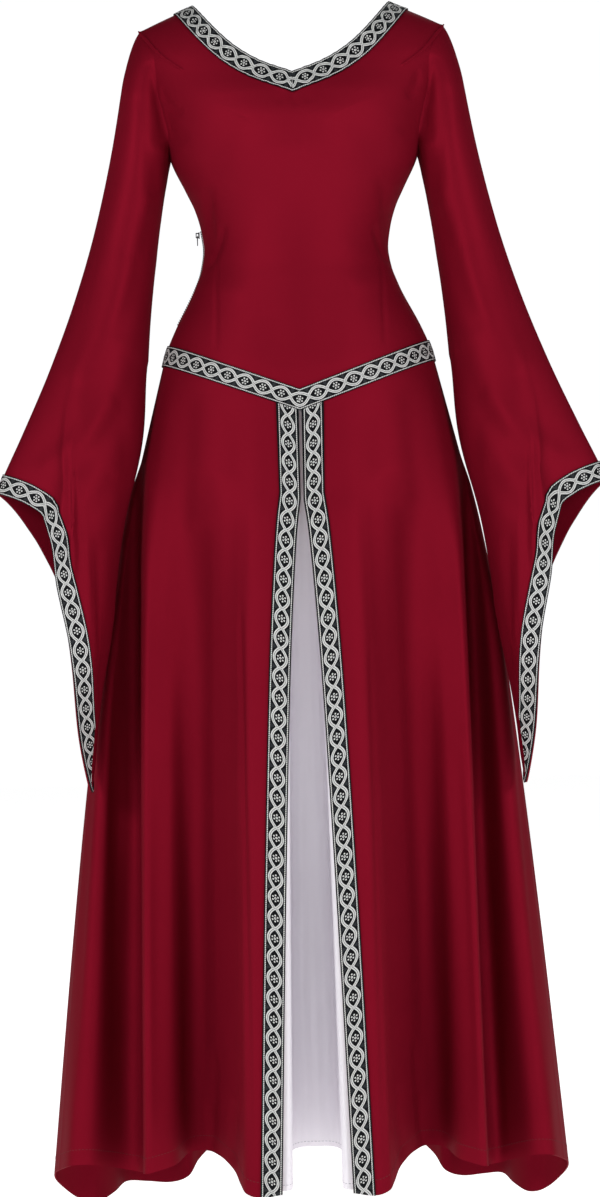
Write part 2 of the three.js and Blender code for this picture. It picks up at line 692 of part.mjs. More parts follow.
// Colours and finishes
const CRIMSON = { color: 0x7d0e1f, roughness: 0.75, metalness: 0 };
const WHITE_SATIN = { color: 0xd8d8de, roughness: 0.45, metalness: 0 };
const WOVEN_RIBBON = { color: 0x4a4c4e, roughness: 0.6, metalness: 0.1 };
const BLACK_METAL = { color: 0x151517, roughness: 0.4, metalness: 0.8 };

const gown = new THREE.Group();

// Adds one named piece to the gown
function addPiece(name, geometry, finish) {
  const piece = new THREE.Mesh(geometry, new THREE.MeshStandardMaterial(finish));
  piece.name = name;
  gown.add(piece);
  return piece;
}

// Bodice
const bodiceFront = bodiceGrid("front");
const bodiceBack = bodiceGrid("back");
addPiece("bodice_front", clothWall(bodiceFront, CLOTH_WALL), CRIMSON);
addPiece("bodice_back", clothWall(bodiceBack, CLOTH_WALL), CRIMSON);

// Skirt and inset
const skirtGrids = { left: frontSkirtGrid("left"), right: frontSkirtGrid("right") };
const skirtBack = backSkirtGrid();
joinSeam(skirtGrids.right[skirtGrids.right.length - 1], skirtBack[0]);
joinSeam(skirtGrids.left[0], skirtBack[skirtBack.length - 1]);
addPiece("skirt_front_left", clothWall(skirtGrids.left, CLOTH_WALL), CRIMSON);
addPiece("skirt_front_right", clothWall(skirtGrids.right, CLOTH_WALL), CRIMSON);
addPiece("skirt_back", clothWall(skirtBack, CLOTH_WALL), CRIMSON);
addPiece("inset", clothWall(insetGrid(), INSET_WALL), WHITE_SATIN);

// Sleeves and their cuff ribbons
for (const side of ["left", "right"]) {
  const grid = sleeveGrid(side);
  const foot = grid[0].length - 1;
  addPiece("sleeve_" + side, clothWall(grid, CLOTH_WALL, true), CRIMSON);
  const cuff = gridPart(grid, 0, grid.length - 1, foot - 1, foot);
  addPiece("cuff_trim_" + side, ribbonWall(cuff, true), WOVEN_RIBBON);
}

// Neck ribbons, on the top row of each bodice panel
const lastColumn = bodiceFront.length - 1;
addPiece("neck_trim_front", ribbonWall(gridPart(bodiceFront, 0, lastColumn, 0, 1)), WOVEN_RIBBON);
addPiece("neck_trim_back", ribbonWall(gridPart(bodiceBack, 0, lastColumn, 0, 1)), WOVEN_RIBBON);

// Ribbons on the two front edges of the skirt, below the girdle
for (const side of ["left", "right"]) {
  const grid = skirtGrids[side];
  const start = side === "left" ? grid.length - 1 - TRIM_COLUMNS : 0;
  const part = gridPart(grid, start, start + TRIM_COLUMNS, GIRDLE_ROW, SKIRT_ROWS.length + 1);
  addPiece("skirt_trim_" + side, ribbonWall(part), WOVEN_RIBBON);
}

// A point of the plain top of the skirt, this far below the girdle line
function belowGirdle(angleDeg, level, drop) {
  const angle = radians(angleDeg);
  const depth = Math.cos(angle) > 0 ? HIP_FRONT : HIP_BACK;
  const hip = new THREE.Vector3(HIP_HALF * Math.sin(angle), -depth * Math.cos(angle), level - drop);
  const share = drop / (HIP_SHARE * (level - FRONT_FOLDS[0].z));
  const low = bodyPoint(angleDeg, level).lerp(hip, share);
  low.z = level - drop;
  return low;
}

// Girdle ribbon: half on the bodice, half on the skirt, a front and a back length
function girdleGrid(bodice, facing) {
  const foot = bodice[0].length - 1;
  return bodice.map((line, column) => {
    const across = (column / (bodice.length - 1)) * 2 - 1;
    const middle = facing === "front" ? 0 : BACK_SEAM_DEG;
    const angle = middle + across * SIDE_SEAM_DEG;
    const level = girdleHeight(angle);
    const seam = bodyPoint(angle, level);
    const low = belowGirdle(angle, level, RIBBON_WIDTH / 2);
    const shift = facing === "front" ? -SEAM_GAP / 2 : SEAM_GAP / 2;
    seam.y += shift;
    low.y += shift;
    return [
      line[foot - 1],
      { at: seam, normal: line[foot].normal },
      { at: low, normal: line[foot].normal },
    ];
  });
}
addPiece("girdle_trim_front", ribbonWall(girdleGrid(bodiceFront, "front")), WOVEN_RIBBON);
addPiece("girdle_trim_back", ribbonWall(girdleGrid(bodiceBack, "back")), WOVEN_RIBBON);

// Zip chain on the left side seam, from the waist down to the girdle
const sideLine = bodiceFront[0];
const chainStart = ROWS_ABOVE_ARMHOLE + ARMHOLE_STEPS + 1 + BODICE_SIDE_ROWS.indexOf(ZIP_FIRST_ROW);
const chainRows = sideLine.slice(chainStart, sideLine.length - 2);
const chainGrid = [1, -1].map((edge) =>
  chainRows.map((entry) => ({
    at: new THREE.Vector3(entry.at.x, (edge * ZIP_CHAIN_WIDTH) / 2, entry.at.z),
    normal: new THREE.Vector3(-1, 0, 0),
  })),
);
addPiece("zip_chain", wall(chainGrid, ZIP_LIFT + ZIP_CHAIN_THICK, ZIP_LIFT), BLACK_METAL);

// The slider lies on the top of the chain, and the pull turns about the bar of its own eye
const sliderZ = chainRows[0].at.z - SLIDER_LENGTH / 2 - SLIDER_DROP;
const sliderBackX = chainRows[0].at.x - ZIP_LIFT - ZIP_CHAIN_THICK - SEAM_GAP;
const plateFaceX = sliderBackX - SLIDER_PLATE;
const bridgeHoleX = BRIDGE_REACH - BRIDGE_BAR;
const bridgeHoleZ = BRIDGE_LENGTH - 2 * BRIDGE_BAR;
const hingeX = plateFaceX - bridgeHoleX / 2;
const hingeZ = sliderZ - bridgeHoleZ / 2 + HINGE_CLEARANCE + PULL_BAR / 2;

// Adds a closed outline to a shape or hole
function outline(path, corners) {
  corners.forEach(([x, z], number) => (number ? path.lineTo(x, z) : path.moveTo(x, z)));
  path.closePath();
  return path;
}

// A plate with a bridge that stands out from its middle, seen along the seam's own Y
function sliderShape() {
  const half = SLIDER_LENGTH / 2;
  const bridge = BRIDGE_LENGTH / 2;
  const holeHalf = bridgeHoleZ / 2;
  const shape = outline(new THREE.Shape(), [
    [sliderBackX, sliderZ - half],
    [sliderBackX, sliderZ + half],
    [plateFaceX, sliderZ + half - SLIDER_PLATE / 2],
    [plateFaceX, sliderZ + bridge],
    [plateFaceX - BRIDGE_REACH, sliderZ + bridge],
    [plateFaceX - BRIDGE_REACH, sliderZ - bridge],
    [plateFaceX, sliderZ - bridge],
    [plateFaceX, sliderZ - half + SLIDER_PLATE / 2],
  ]);
  const hole = outline(new THREE.Path(), [
    [plateFaceX, sliderZ - holeHalf],
    [plateFaceX, sliderZ + holeHalf],
    [plateFaceX - bridgeHoleX, sliderZ + holeHalf],
    [plateFaceX - bridgeHoleX, sliderZ - holeHalf],
  ]);
  shape.holes.push(hole);
  return shape;
}
const sliderGeometry = new THREE.ExtrudeGeometry(sliderShape(), {
  depth: SLIDER_WIDTH,
  bevelEnabled: false,
});
sliderGeometry.translate(0, 0, -SLIDER_WIDTH / 2);
sliderGeometry.rotateX(Math.PI / 2);
addPiece("zip_slider", sliderGeometry, BLACK_METAL);

// Pull tab: an eye whose top bar lies under the bridge, and a tapered tongue
function pullShape() {
  const inside = SLIDER_WIDTH / 2 + HINGE_CLEARANCE;
  const outside = inside + PULL_BAR;
  const top = PULL_BAR / 2;
  const eyeFoot = -top - EYE_LENGTH;
  const cheekFoot = eyeFoot - PULL_BAR / 2;
  const tongue = PULL_TONGUE / 2;
  const tip = tongue / 2;
  const shape = outline(new THREE.Shape(), [
    [-outside, top],
    [-outside, cheekFoot],
    [-tongue, eyeFoot - 2 * PULL_BAR],
    [-tongue, -PULL_LENGTH + PULL_BAR],
    [-tip, -PULL_LENGTH],
    [tip, -PULL_LENGTH],
    [tongue, -PULL_LENGTH + PULL_BAR],
    [tongue, eyeFoot - 2 * PULL_BAR],
    [outside, cheekFoot],
    [outside, top],
  ]);
  const hole = outline(new THREE.Path(), [
    [-inside, -top],
    [inside, -top],
    [inside, eyeFoot],
    [-inside, eyeFoot],
  ]);
  shape.holes.push(hole);
  return shape;
}
const pullGeometry = new THREE.ExtrudeGeometry(pullShape(), {
  depth: PULL_BAR,
  bevelEnabled: false,
});
pullGeometry.translate(0, 0, -PULL_BAR / 2);
pullGeometry.rotateX(Math.PI / 2);
pullGeometry.rotateZ(Math.PI / 2);
const pull = addPiece("zip_pull", pullGeometry, BLACK_METAL);
pull.position.set(hingeX, 0, hingeZ);

export default gown;
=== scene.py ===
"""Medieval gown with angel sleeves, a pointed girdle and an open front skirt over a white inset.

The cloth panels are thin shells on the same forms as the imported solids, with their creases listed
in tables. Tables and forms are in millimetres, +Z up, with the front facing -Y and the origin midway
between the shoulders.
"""
import math

import bpy
import numpy as np
from bpy.props import FloatProperty, FloatVectorProperty, IntProperty, PointerProperty
from mathutils import Matrix, Vector


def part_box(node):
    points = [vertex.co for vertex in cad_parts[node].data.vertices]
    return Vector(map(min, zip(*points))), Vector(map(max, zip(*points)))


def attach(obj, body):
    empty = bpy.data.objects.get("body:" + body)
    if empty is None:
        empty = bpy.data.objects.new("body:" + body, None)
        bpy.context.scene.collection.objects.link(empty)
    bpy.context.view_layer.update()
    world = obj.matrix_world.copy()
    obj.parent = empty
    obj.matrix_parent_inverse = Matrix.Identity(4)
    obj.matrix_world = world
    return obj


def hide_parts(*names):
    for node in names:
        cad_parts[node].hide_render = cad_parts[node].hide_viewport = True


bl_info = {
    "name": "Medieval gown",
    "version": (1, 0, 0),
    "blender": (4, 5, 0),
    "location": "View3D > Sidebar > Gown",
    "description": "Builds a medieval gown on its packed frame",
    "category": "Object",
}

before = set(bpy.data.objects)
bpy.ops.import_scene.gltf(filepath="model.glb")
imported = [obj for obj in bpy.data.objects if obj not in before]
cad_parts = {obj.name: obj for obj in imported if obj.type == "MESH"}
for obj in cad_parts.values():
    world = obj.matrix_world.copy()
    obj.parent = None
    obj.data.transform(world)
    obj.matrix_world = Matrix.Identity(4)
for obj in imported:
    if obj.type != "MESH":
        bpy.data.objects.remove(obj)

MM = 0.001


def table(names, *rows):
    """Columns of a table by name, from its rows."""
    return {name: np.array(column, float) for name, column in zip(names.split(), zip(*rows))}


# Levels of the shoulder line, of the roll of the shoulder and of the girdle line, the hip as a
# share of the skirt's drop with its half width and depths, and the walls and gaps of the cloth
NECK_POINT_X = 118.0
NECK_POINT_Z = 2.0
SHOULDER_SLOPE = 0.42
SHOULDER_ROLL_Z = -75.0
GIRDLE_SIDE_Z = -416.0
GIRDLE_POINT_Z = -480.0
HIP_SHARE = 0.13
HIP_HALF = 191.0
HIP_FRONT = 136.0
HIP_BACK = 140.0
CLOTH_WALL = 1.8
INSET_WALL = 1.5
INSET_LIFT = 0.6
SEAM_GAP = 0.3
RIBBON_WIDTH = 24.0

# The body of the gown: level sections, half width and depth to the front and to the back
BODY = table(
    "z half front back",
    (10, 190, 72, 68),
    (-60, 188, 86, 76),
    (-90, 178, 98, 82),
    (-124, 165, 113, 86),
    (-154, 155, 119, 88),
    (-183, 147.5, 118, 88),
    (-218, 131, 109, 84),
    (-242, 120, 102, 81),
    (-266, 113.4, 98, 80),
    (-290, 110.4, 97, 81),
    (-314, 114, 98, 84),
    (-338, 123, 101, 90),
    (-386, 147.6, 107, 103),
    (-410, 157.8, 110, 110),
    (-434, 165, 113, 115),
    (-482, 176.4, 116, 124),
)

# How far the skirt has opened from the hip to the hem, by share of the way down
FLARE = table(
    "down open", (0, 0), (0.04, 0.11), (0.116, 0.24), (0.25, 0.41), (0.47, 0.61), (0.7, 0.79), (1, 1)
)

# Fold lines of a front skirt panel from its opening edge to the side seam: the angle round the
# body at the girdle and at the hip, and the place at the hem
FRONT_FOLDS = table(
    "top hip x y z",
    (0.5, 0.5, 40, -188, -1375),
    (9.2, 7.8, 64.5, -193, -1377),
    (19, 17.5, 80, -186, -1374),
    (23.5, 21.5, 86.5, -170, -1368),
    (26, 24.5, 93, -148, -1359),
    (29, 28, 101, -124, -1355),
    (33, 32, 112, -98, -1352),
    (40, 39, 128, -74, -1352),
    (49, 48, 143, -66, -1355),
    (59, 59, 161, -99, -1360),
    (67, 67.5, 191, -121, -1364),
    (71, 72, 199, -106, -1368),
    (73.5, 74.5, 201, -74, -1376),
    (76, 77, 207, -36, -1384),
    (78.5, 79.5, 219, -18, -1386),
    (81, 82, 238, -28, -1379),
    (83.5, 84.5, 262, -54, -1369),
    (86.5, 87, 284, -53, -1370),
    (90, 90, 301, -22, -1382),
)

# Fold lines of the back skirt panel from a side seam to the centre back
BACK_FOLDS = table(
    "top hip x y z",
    (90, 90, 301, -22, -1382),
    (92.5, 92.5, 309, 2, -1392),
    (96.5, 96.5, 308, 32, -1410),
    (102, 102, 288, 60, -1436),
    (108, 108, 266, 69, -1443),
    (114, 114, 249, 92, -1438),
    (120, 120, 237, 128, -1434),
    (127, 127, 213, 151, -1440),
    (135, 135, 184, 147, -1441),
    (142, 142, 163, 136, -1432),
    (148, 148, 150, 154, -1414),
    (155, 155, 129, 184, -1402),
    (163, 163, 97, 196, -1398),
    (171, 171, 55, 182, -1396),
    (180, 180, 0, 170, -1395),
)

# Fold lines of the inset from the centre to one side: half width at the top, place at the hem
INSET_FOLDS = table(
    "top x y z",
    (0, 0, -47, -1355),
    (3, 17, -49, -1355),
    (5.5, 29, -60, -1357),
    (8, 32, -92, -1362),
    (10.5, 30, -135, -1367),
    (13, 28, -168, -1371),
    (15.5, 31, -182, -1372),
    (19, 42, -184.5, -1372),
    (23, 57, -187, -1372),
)

# Each side opens out by its own amount towards the side seam, where the cloth hangs unevenly
SIDE_SPREAD = {"left": 1.022, "right": 0.978}
SPREAD_FROM_X = 150.0
SPREAD_FULL_X = 300.0

# The front neckline from its point to the neck point, and the back neckline, seen from the front
FRONT_NECK = table(
    "at x z",
    (0, 0, -100),
    (0.22, 35, -85),
    (0.4, 60.5, -68),
    (0.56, 79.5, -50),
    (0.79, 102, -22),
    (1, 118, 2),
)
BACK_NECK = table(
    "at x z",
    (0, 0, -92),
    (0.22, 35, -86),
    (0.4, 62, -71),
    (0.56, 82, -51),
    (0.79, 104, -20),
    (1, 118, 2),
)

# The armhole from the shoulder tip to the armpit, seen from the front
ARMHOLE = table(
    "at x z",
    (0, 182, -25),
    (0.16, 168, -46),
    (0.36, 161.5, -76),
    (0.54, 160, -104),
    (0.68, 155, -126),
    (0.86, 148.5, -156),
    (1, 147.5, -181),
)
# Shares of a bodice panel's outer edge that end at the shoulder tip and at the armpit, and where the
# armhole turns to the side seam
SHOULDER_SHARE = 0.16
ARMHOLE_SHARE = 0.5
ARMPIT_BLEND = 0.9

# Rings of a sleeve from the armhole to the cuff: outer and inner point seen from the front,
# depth to the front and back, and how far the ring's middle lies from the plane of the shoulders
SLEEVE = table(
    "down outX outZ inX inZ front back mid",
    (0, 182, -25, 147.5, -181, 40, 38, 0),
    (0.05, 197, -49, 149.5, -190, 50, 46, 0),
    (0.12, 204, -90, 152, -205, 54, 50, 0),
    (0.25, 218, -168, 161, -262, 52, 50, -2),
    (0.4, 240, -265, 175.5, -371, 48, 48, -11),
    (0.55, 265, -352, 185, -501, 47, 47, -29),
    (0.7, 293, -432, 211, -638, 48, 47, -50),
    (0.85, 325, -506, 232, -786, 50, 45, -60),
    (0.94, 346, -551, 245, -880, 49, 42, -64),
    (1, 357, -578, 254, -930, 48, 40, -66),
)

# How far the cuff's edge bows in from the straight line between its two ends
CUFF_BOW = table(
    "at front back",
    (0, 0, 0),
    (0.034, 18, 7),
    (0.0725, 34, 13),
    (0.125, 47, 19),
    (0.2, 47, 26),
    (0.353, 38, 33),
    (0.5, 33, 32),
    (0.6, 27, 28),
    (0.84, 8, 9),
    (1, 0, 0),
)
CUFF_BOW_POWER = 3
# How far the sleeve's head is tucked inside the armhole, and the share of the sleeve that is its head
SEAM_TUCK = 0.8
SLEEVE_HEAD = 0.12
# The cuff's band of full ribbon width, the row at which it starts and where the cloth turns to it
BAND_ROW = 0.92
BAND_FROM = 0.93
BAND_TURN = 0.78
BAND_LEAST = 3.0
BACK_BAND_RATIO = 0.5

# Creases seen flat from the front of a panel: the line's two ends, how far it bows sideways, its
# half width and its height, where a trough is below 0
CREASE = "x0 z0 x1 z1 bow wide high"
BODICE_CREASES = table(
    CREASE,
    (-157, -104, -131, -139, 3, 5, -2.2),
    (150, -92, 133, -124, -3, 5, -2.2),
    (-152, -128, -128, -172, 4, 9, -1.6),
    (149, -118, 126, -168, -4, 9, -1.5),
    (-101, -225, -97, -300, 3, 7, -2.6),
    (-84, -268, -104, -318, -2, 5, -2.4),
    (103, -220, 107, -298, -3, 7, -2.6),
    (93, -272, 109, -314, 2, 5, -2.2),
    (-94, -306, -96, -418, 0, 2.6, -0.9),
    (100, -304, 101, -416, 0, 2.6, -0.9),
    (-60, -150, -98, -215, 8, 26, -2.4),
    (64, -146, 99, -212, -8, 26, -2.2),
    (-120, -330, -60, -352, 4, 12, 1.1),
    (118, -326, 62, -348, -4, 12, 1.0),
    (-34, -300, -30, -440, 4, 22, -1.2),
    (38, -296, 30, -436, -4, 22, -1.1),
    (0, -118, 3, -142, 1, 4, -0.9),
    (-10, -122, -16, -140, 0, 4, -0.7),
    (12, -120, 19, -139, 0, 4, -0.7),
)
BACK_CREASES = table(
    CREASE,
    (-155, -112, -126, -150, 3, 6, -2.0),
    (153, -106, 125, -146, -3, 6, -2.0),
    (-98, -222, -94, -304, 3, 8, -2.4),
    (99, -218, 96, -300, -3, 8, -2.4),
    (-80, -262, -100, -312, -2, 6, -2.0),
    (84, -266, 101, -310, 2, 6, -2.0),
    (-62, -250, -66, -412, 0, 2.6, -0.9),
    (64, -250, 66, -412, 0, 2.6, -0.9),
    (-50, -130, -92, -214, 8, 24, -2.0),
    (54, -128, 94, -210, -8, 24, -2.0),
    (-26, -282, 30, -296, 6, 13, 1.6),
    (-40, -318, 36, -330, 6, 14, 1.4),
    (0, -110, 0, -412, 0, 2.4, -0.7),
)
SKIRT_CREASES = table(
    CREASE,
    (-128, -460, -137, -760, 4, 14, -2.2),
    (-75, -720, -71, -1420, 0, 4, -3.0),
    (-67, -720, -63, -1420, 0, 6, 1.6),
    (-186, -600, -196, -1430, 0, 7, 2.4),
    (-204, -600, -214, -1430, 0, 9, -4.0),
    (-122, -620, -145, -1440, 0, 17, -9.0),
    (-222, -640, -232, -1440, 0, 13, -5.0),
    (-72, -480, -84, -900, -4, 16, -1.8),
    (-150, -450, -182, -700, 3, 10, 1.5),
    (-98, -560, -112, -1150, 5, 12, 1.8),
    (-118, -1230, -121, -1352, 2, 8, -3.2),
    (-128, -1290, -126, -1354, 1, 6, -2.6),
    (-92, -1280, -96, -1352, 1, 6, -2.4),
    (-168, -900, -176, -1320, 4, 12, -2.0),
    (-212, -1000, -222, -1370, 3, 9, -2.6),
    (-262, -880, -280, -1330, 4, 12, -2.2),
    (126, -458, 136, -740, -4, 14, -2.2),
    (76, -760, 73, -1420, 0, 5, -2.4),
    (182, -620, 192, -1430, 0, 7, 2.2),
    (200, -620, 208, -1430, 0, 9, -3.6),
    (122, -600, 144, -1440, 0, 18, -10.0),
    (226, -640, 236, -1440, 0, 14, 4.5),
    (74, -480, 90, -930, 4, 16, -1.8),
    (150, -452, 178, -690, -3, 10, 1.5),
    (101, -580, 114, -1170, -5, 12, 1.8),
    (119, -1220, 124, -1352, -2, 8, -3.0),
    (132, -1284, 130, -1354, 1, 6, -2.6),
    (94, -1270, 99, -1350, 1, 6, -2.4),
    (170, -880, 181, -1310, -4, 12, -2.0),
    (208, -1010, 216, -1368, -3, 9, -2.6),
    (252, -900, 268, -1320, -4, 12, -2.2),
)
SKIRT_BACK_CREASES = table(
    CREASE,
    (-120, -440, -142, -820, 5, 15, -2.4),
    (-60, -440, -66, -900, -5, 17, -2.0),
    (4, -436, -8, -980, 6, 20, -1.8),
    (66, -440, 74, -880, 5, 16, -2.2),
    (122, -440, 146, -840, -5, 15, -2.4),
    (-100, -900, -112, -1390, 5, 14, 2.4),
    (-30, -960, -26, -1385, 4, 12, -2.6),
    (36, -930, 40, -1388, -4, 12, -2.4),
    (108, -880, 118, -1392, -5, 14, 2.4),
    (-190, -1000, -206, -1420, 4, 11, -2.6),
    (192, -1020, 204, -1424, -4, 11, -2.4),
)
INSET_CREASES = table(
    CREASE,
    (-4, -560, -7, -860, 2, 5, -1.0),
    (7, -640, 12, -980, -2, 6, 1.0),
    (-10, -900, -12, -1340, 2, 7, -1.6),
    (9, -1020, 15, -1345, -2, 7, -1.5),
    (0, -1080, 3, -1350, 2, 8, 1.4),
)
# On a sleeve, seen from the front, for the right one
SLEEVE_CREASES = table(
    CREASE,
    (166, -70, 158, -172, 6, 8, -3.0),
    (184, -110, 172, -230, 6, 10, -2.2),
    (160, -176, 178, -300, 5, 8, -2.4),
    (176, -250, 214, -400, 8, 13, -2.4),
    (198, -300, 262, -452, 8, 16, 2.4),
    (186, -420, 262, -560, 12, 16, -3.0),
    (214, -470, 322, -566, 10, 14, 2.6),
    (214, -560, 292, -640, 10, 14, -2.4),
    (204, -500, 226, -720, 8, 9, -2.0),
    (228, -640, 252, -800, 6, 8, 1.8),
    (236, -760, 252, -890, 4, 6, -1.6),
)

# Ribbon pattern, in millimetres along the ribbon or from its middle: two strands, a rosette of dots
# round an eye, a corded selvedge and dark wedges beside each crossing
PATTERN_PITCH = 22.5
STRAND_SWING = 7.1
STRAND_HALF = 1.55
STRAND_GROOVE = 0.22
STRAND_OUTLINE = 0.3
ROUNDING = 0.78
LEAST_RISE = 0.04
DOT_RING = 3.3
DOT_RADIUS = 0.95
DOT_SECTOR = math.pi / 3
EYE = (0.45, 1.35)
SELVEDGE = (9.7, 10.9)
SELVEDGE_PITCH = 2.4
SELVEDGE_TWIST = -0.75
WEDGE = (4.8, 8.6)
WEDGE_TIP = 4.2
WEDGE_SLOPE = 0.62

# Sizes of the tones, of the cloth's weave and of the ribbon's threads, which are drawn a little
# coarser than the real ones so that they show
TONE_SIZE = 111.0
WEAVE_SIZE = 1.43
THREAD_SIZE = 0.91
THREAD_RELIEF = 0.35

# Points of each grid, columns across and rows down
BODICE_COLUMNS = 141
SHOULDER_ROWS = 20
TIP_ROWS = 16
BODICE_ROWS = 98
SKIRT_COLUMNS = 151
SKIRT_ROWS = 161
BACK_COLUMNS = 211
BACK_ROWS = 151
INSET_COLUMNS = 97
INSET_ROWS = 141
SLEEVE_TURNS = 150
SLEEVE_LEVELS = 110
BAND_LEVELS = 8
RIBBON_COLUMNS = 261
RIBBON_ROWS = 9
GIRDLE_ROWS = 11
SKIRT_RIBBON_ROWS = 241
RIBBON_MIDDLE = RIBBON_COLUMNS // 2
SLEEVE_DEGREES = np.arange(SLEEVE_TURNS) * 360 / SLEEVE_TURNS

# Where creases fade out before an edge: shares of the panel, or fold lines of the skirt and inset
BODICE_SIDE_FADE = 0.06
BODICE_FOOT_FADE = 0.05
SKIRT_TOP_FADE = 0.06
SEAM_FADE = 0.8
OPENING_FADE = 1.2
INSET_EDGE = 5.0
INSET_FADE = 2
SLEEVE_FADE = 0.05

# Share of the bodice's drop in which the rows stand closer, at the shoulder tip
TIP_SHARE = 0.04
# Rows of the sleeve from which the way up from the cuff and its lower fold are measured
UP_FROM = 0.96
FOLD_FROM = 0.4
FOLD_STEPS = 120

# Where the neck ribbon turns to the shoulder ridge and to its mitre, how far from its point the
# girdle ribbon bends, and how far down the skirt's drop its ribbon starts
RIDGE_TURN = 0.86
NECK_MITRE = 0.10
GIRDLE_BEND = 16
SKIRT_RIBBON_TOP = 0.0135
PUCKER_HIGH = 0.35
PUCKER_PITCH = 13.0

# Zip teeth: thickness, distance of their middle from the cloth, share of the pitch, rounding
TOOTH_THICK = 1.1
TOOTH_OFFSET = 0.75
TOOTH_SHARE = 0.8
TOOTH_ROUNDING = 0.2

# Hem stitches: length, gap after each, half the thread's width, height off the cloth, and the row
# of the grid that they follow, counted from the hem
STITCH_LONG = 2.6
STITCH_GAP = 1.6
STITCH_HALF = 0.35
STITCH_LIFT = 0.15
HEM_ROW = -4
INSET_HEM_ROW = -2

# Colours as the cloth shows them
CRIMSON_LIT = "#7b0f22"
CRIMSON_DEEP = "#710d1e"
WHITE_SATIN = "#f0edf2"
WHITE_SHADE = "#e8e4ea"
RIBBON_BLACK = "#06070a"
RIBBON_SILVER = "#dcdcda"
RIBBON_GREY = "#a4a6a5"
RIBBON_WEDGE = "#26292c"
BLACK_ENAMEL = "#111113"
THREAD_RED = "#5e0713"
THREAD_WHITE = "#b9b9c0"
BACKDROP = "#ffffff"
STUDIO_LIGHT = "#f6f6f8"

# The stage, in metres: floor, camera and lamps, each with its place, aim, side and watts
FLOOR_Z = -1.475
FLOOR_SIDE = 14
CAMERA_X = -0.005
CAMERA_Z = -0.7086
CAMERA_ROLL_DEG = -1.31
LAMPS = (
    ("key", (-2.4, -3.0, 0.8), (0, 0, -0.65), 1.0, 71),
    ("fill", (2.5, -2.9, 0.6), (0, 0, -0.7), 1.0, 64),
    ("back", (0.2, 2.6, 1.4), (0, 0, -0.6), 1.8, 26),
)


def linear(hex_colour):
    """Linear RGBA of an sRGB hex colour."""
    parts = [int(hex_colour[i : i + 2], 16) / 255 for i in (1, 3, 5)]
    return [c / 12.92 if c <= 0.04045 else ((c + 0.055) / 1.055) ** 2.4 for c in parts] + [1.0]


# Curves through tables

def mix(start, end, share):
    """Value between start and end."""
    return start + (end - start) * share


def ease(value):
    """Smooth rise from 0 to 1."""
    share = np.clip(value, 0, 1)
    return share * share * (3 - 2 * share)


def along(rows, key, column, at):
    """Value of a table's column on a smooth curve through its rows, kept from overshooting."""
    x, y = rows[key], rows[column]
    if x[0] > x[-1]:
        x, y = x[::-1], y[::-1]
    gaps = np.diff(y) / np.diff(x)
    product = gaps[:-1] * gaps[1:]
    total = np.where(product > 0, gaps[:-1] + gaps[1:], 1)
    slopes = np.concatenate([gaps[:1], np.where(product > 0, 2 * product / total, 0), gaps[-1:]])
    at = np.clip(at, x[0], x[-1])
    row = np.clip(np.searchsorted(x, at, side="right") - 1, 0, len(x) - 2)
    span = x[row + 1] - x[row]
    t = (at - x[row]) / span
    return (
        y[row] * (2 * t**3 - 3 * t**2 + 1)
        + slopes[row] * span * (t**3 - 2 * t**2 + t)
        + y[row + 1] * (3 * t**2 - 2 * t**3)
        + slopes[row + 1] * span * (t**3 - t**2)
    )


def along_folds(rows, column, place):
    """Value of a column on a rounded curve through the rows, by row number."""
    value = rows[column]
    last = len(value) - 1
    padded = np.concatenate([[2 * value[0] - value[1]], value, [2 * value[-1] - value[-2]]])
    row = np.clip(np.floor(place).astype(int), 0, last - 1)
    t = place - row
    a, b, c, d = (padded[row + k] for k in range(4))
    return 0.5 * (2 * b + (c - a) * t + (2 * a - 5 * b + 4 * c - d) * t**2 + (3 * b - a - 3 * c + d) * t**3)


def lengths(points, axis):
    """Running length of a grid along an axis."""
    steps = np.linalg.norm(np.diff(points, axis=axis), axis=-1)
    start = np.zeros_like(np.take(steps, [0], axis=axis))
    return np.concatenate([start, np.cumsum(steps, axis=axis)], axis=axis)


def unit(vectors):
    """The vectors at length 1."""
    return vectors / np.maximum(np.linalg.norm(vectors, axis=-1, keepdims=True), 1e-9)


# Forms of the gown

def ridge_height(x):
    """Height of the shoulder ridge at this distance from the centre."""
    return NECK_POINT_Z - (np.abs(x) - NECK_POINT_X) * SHOULDER_SLOPE


def girdle_height(angle):
    """Height of the girdle line: pointed at the front, level round the back."""
    away = np.minimum(np.abs(angle), 90)
    return mix(GIRDLE_POINT_Z, GIRDLE_SIDE_Z, np.sin(np.radians(away)))


def body_point(angle, z, inward=0.0):
    """A point of the body of the gown, 0 degrees at the front, 90 at the side seam, 180 at the back."""
    turn = np.radians(angle)
    x = (along(BODY, "z", "half", z) - inward) * np.sin(turn)
    depth = np.where(np.cos(turn) > 0, along(BODY, "z", "front", z), along(BODY, "z", "back", z)) - inward
    over = (z - SHOULDER_ROLL_Z) / (ridge_height(x) - SHOULDER_ROLL_Z)
    roll = np.where(z > SHOULDER_ROLL_Z, np.sqrt(np.clip(1 - over * over, 0, 1)), 1)
    return np.stack([x, -depth * np.cos(turn) * roll, z + 0 * x], axis=-1)


def angle_at(x, z):
    """Angle round the body of a point this far from the centre at this level."""
    return np.degrees(np.arcsin(np.clip(x / along(BODY, "z", "half", z), -1, 1)))


def off_seam(points, front):
    """The points moved half a gap away from the seam between front and back."""
    points[..., 1] += -SEAM_GAP / 2 if front else SEAM_GAP / 2
    return points


def armhole_place(at):
    """Angle and level on the armhole, from the shoulder tip to the armpit."""
    z = along(ARMHOLE, "at", "z", at)
    turned = ease((at - ARMPIT_BLEND) / (1 - ARMPIT_BLEND))
    return mix(angle_at(along(ARMHOLE, "at", "x", at), z), 90, turned), z


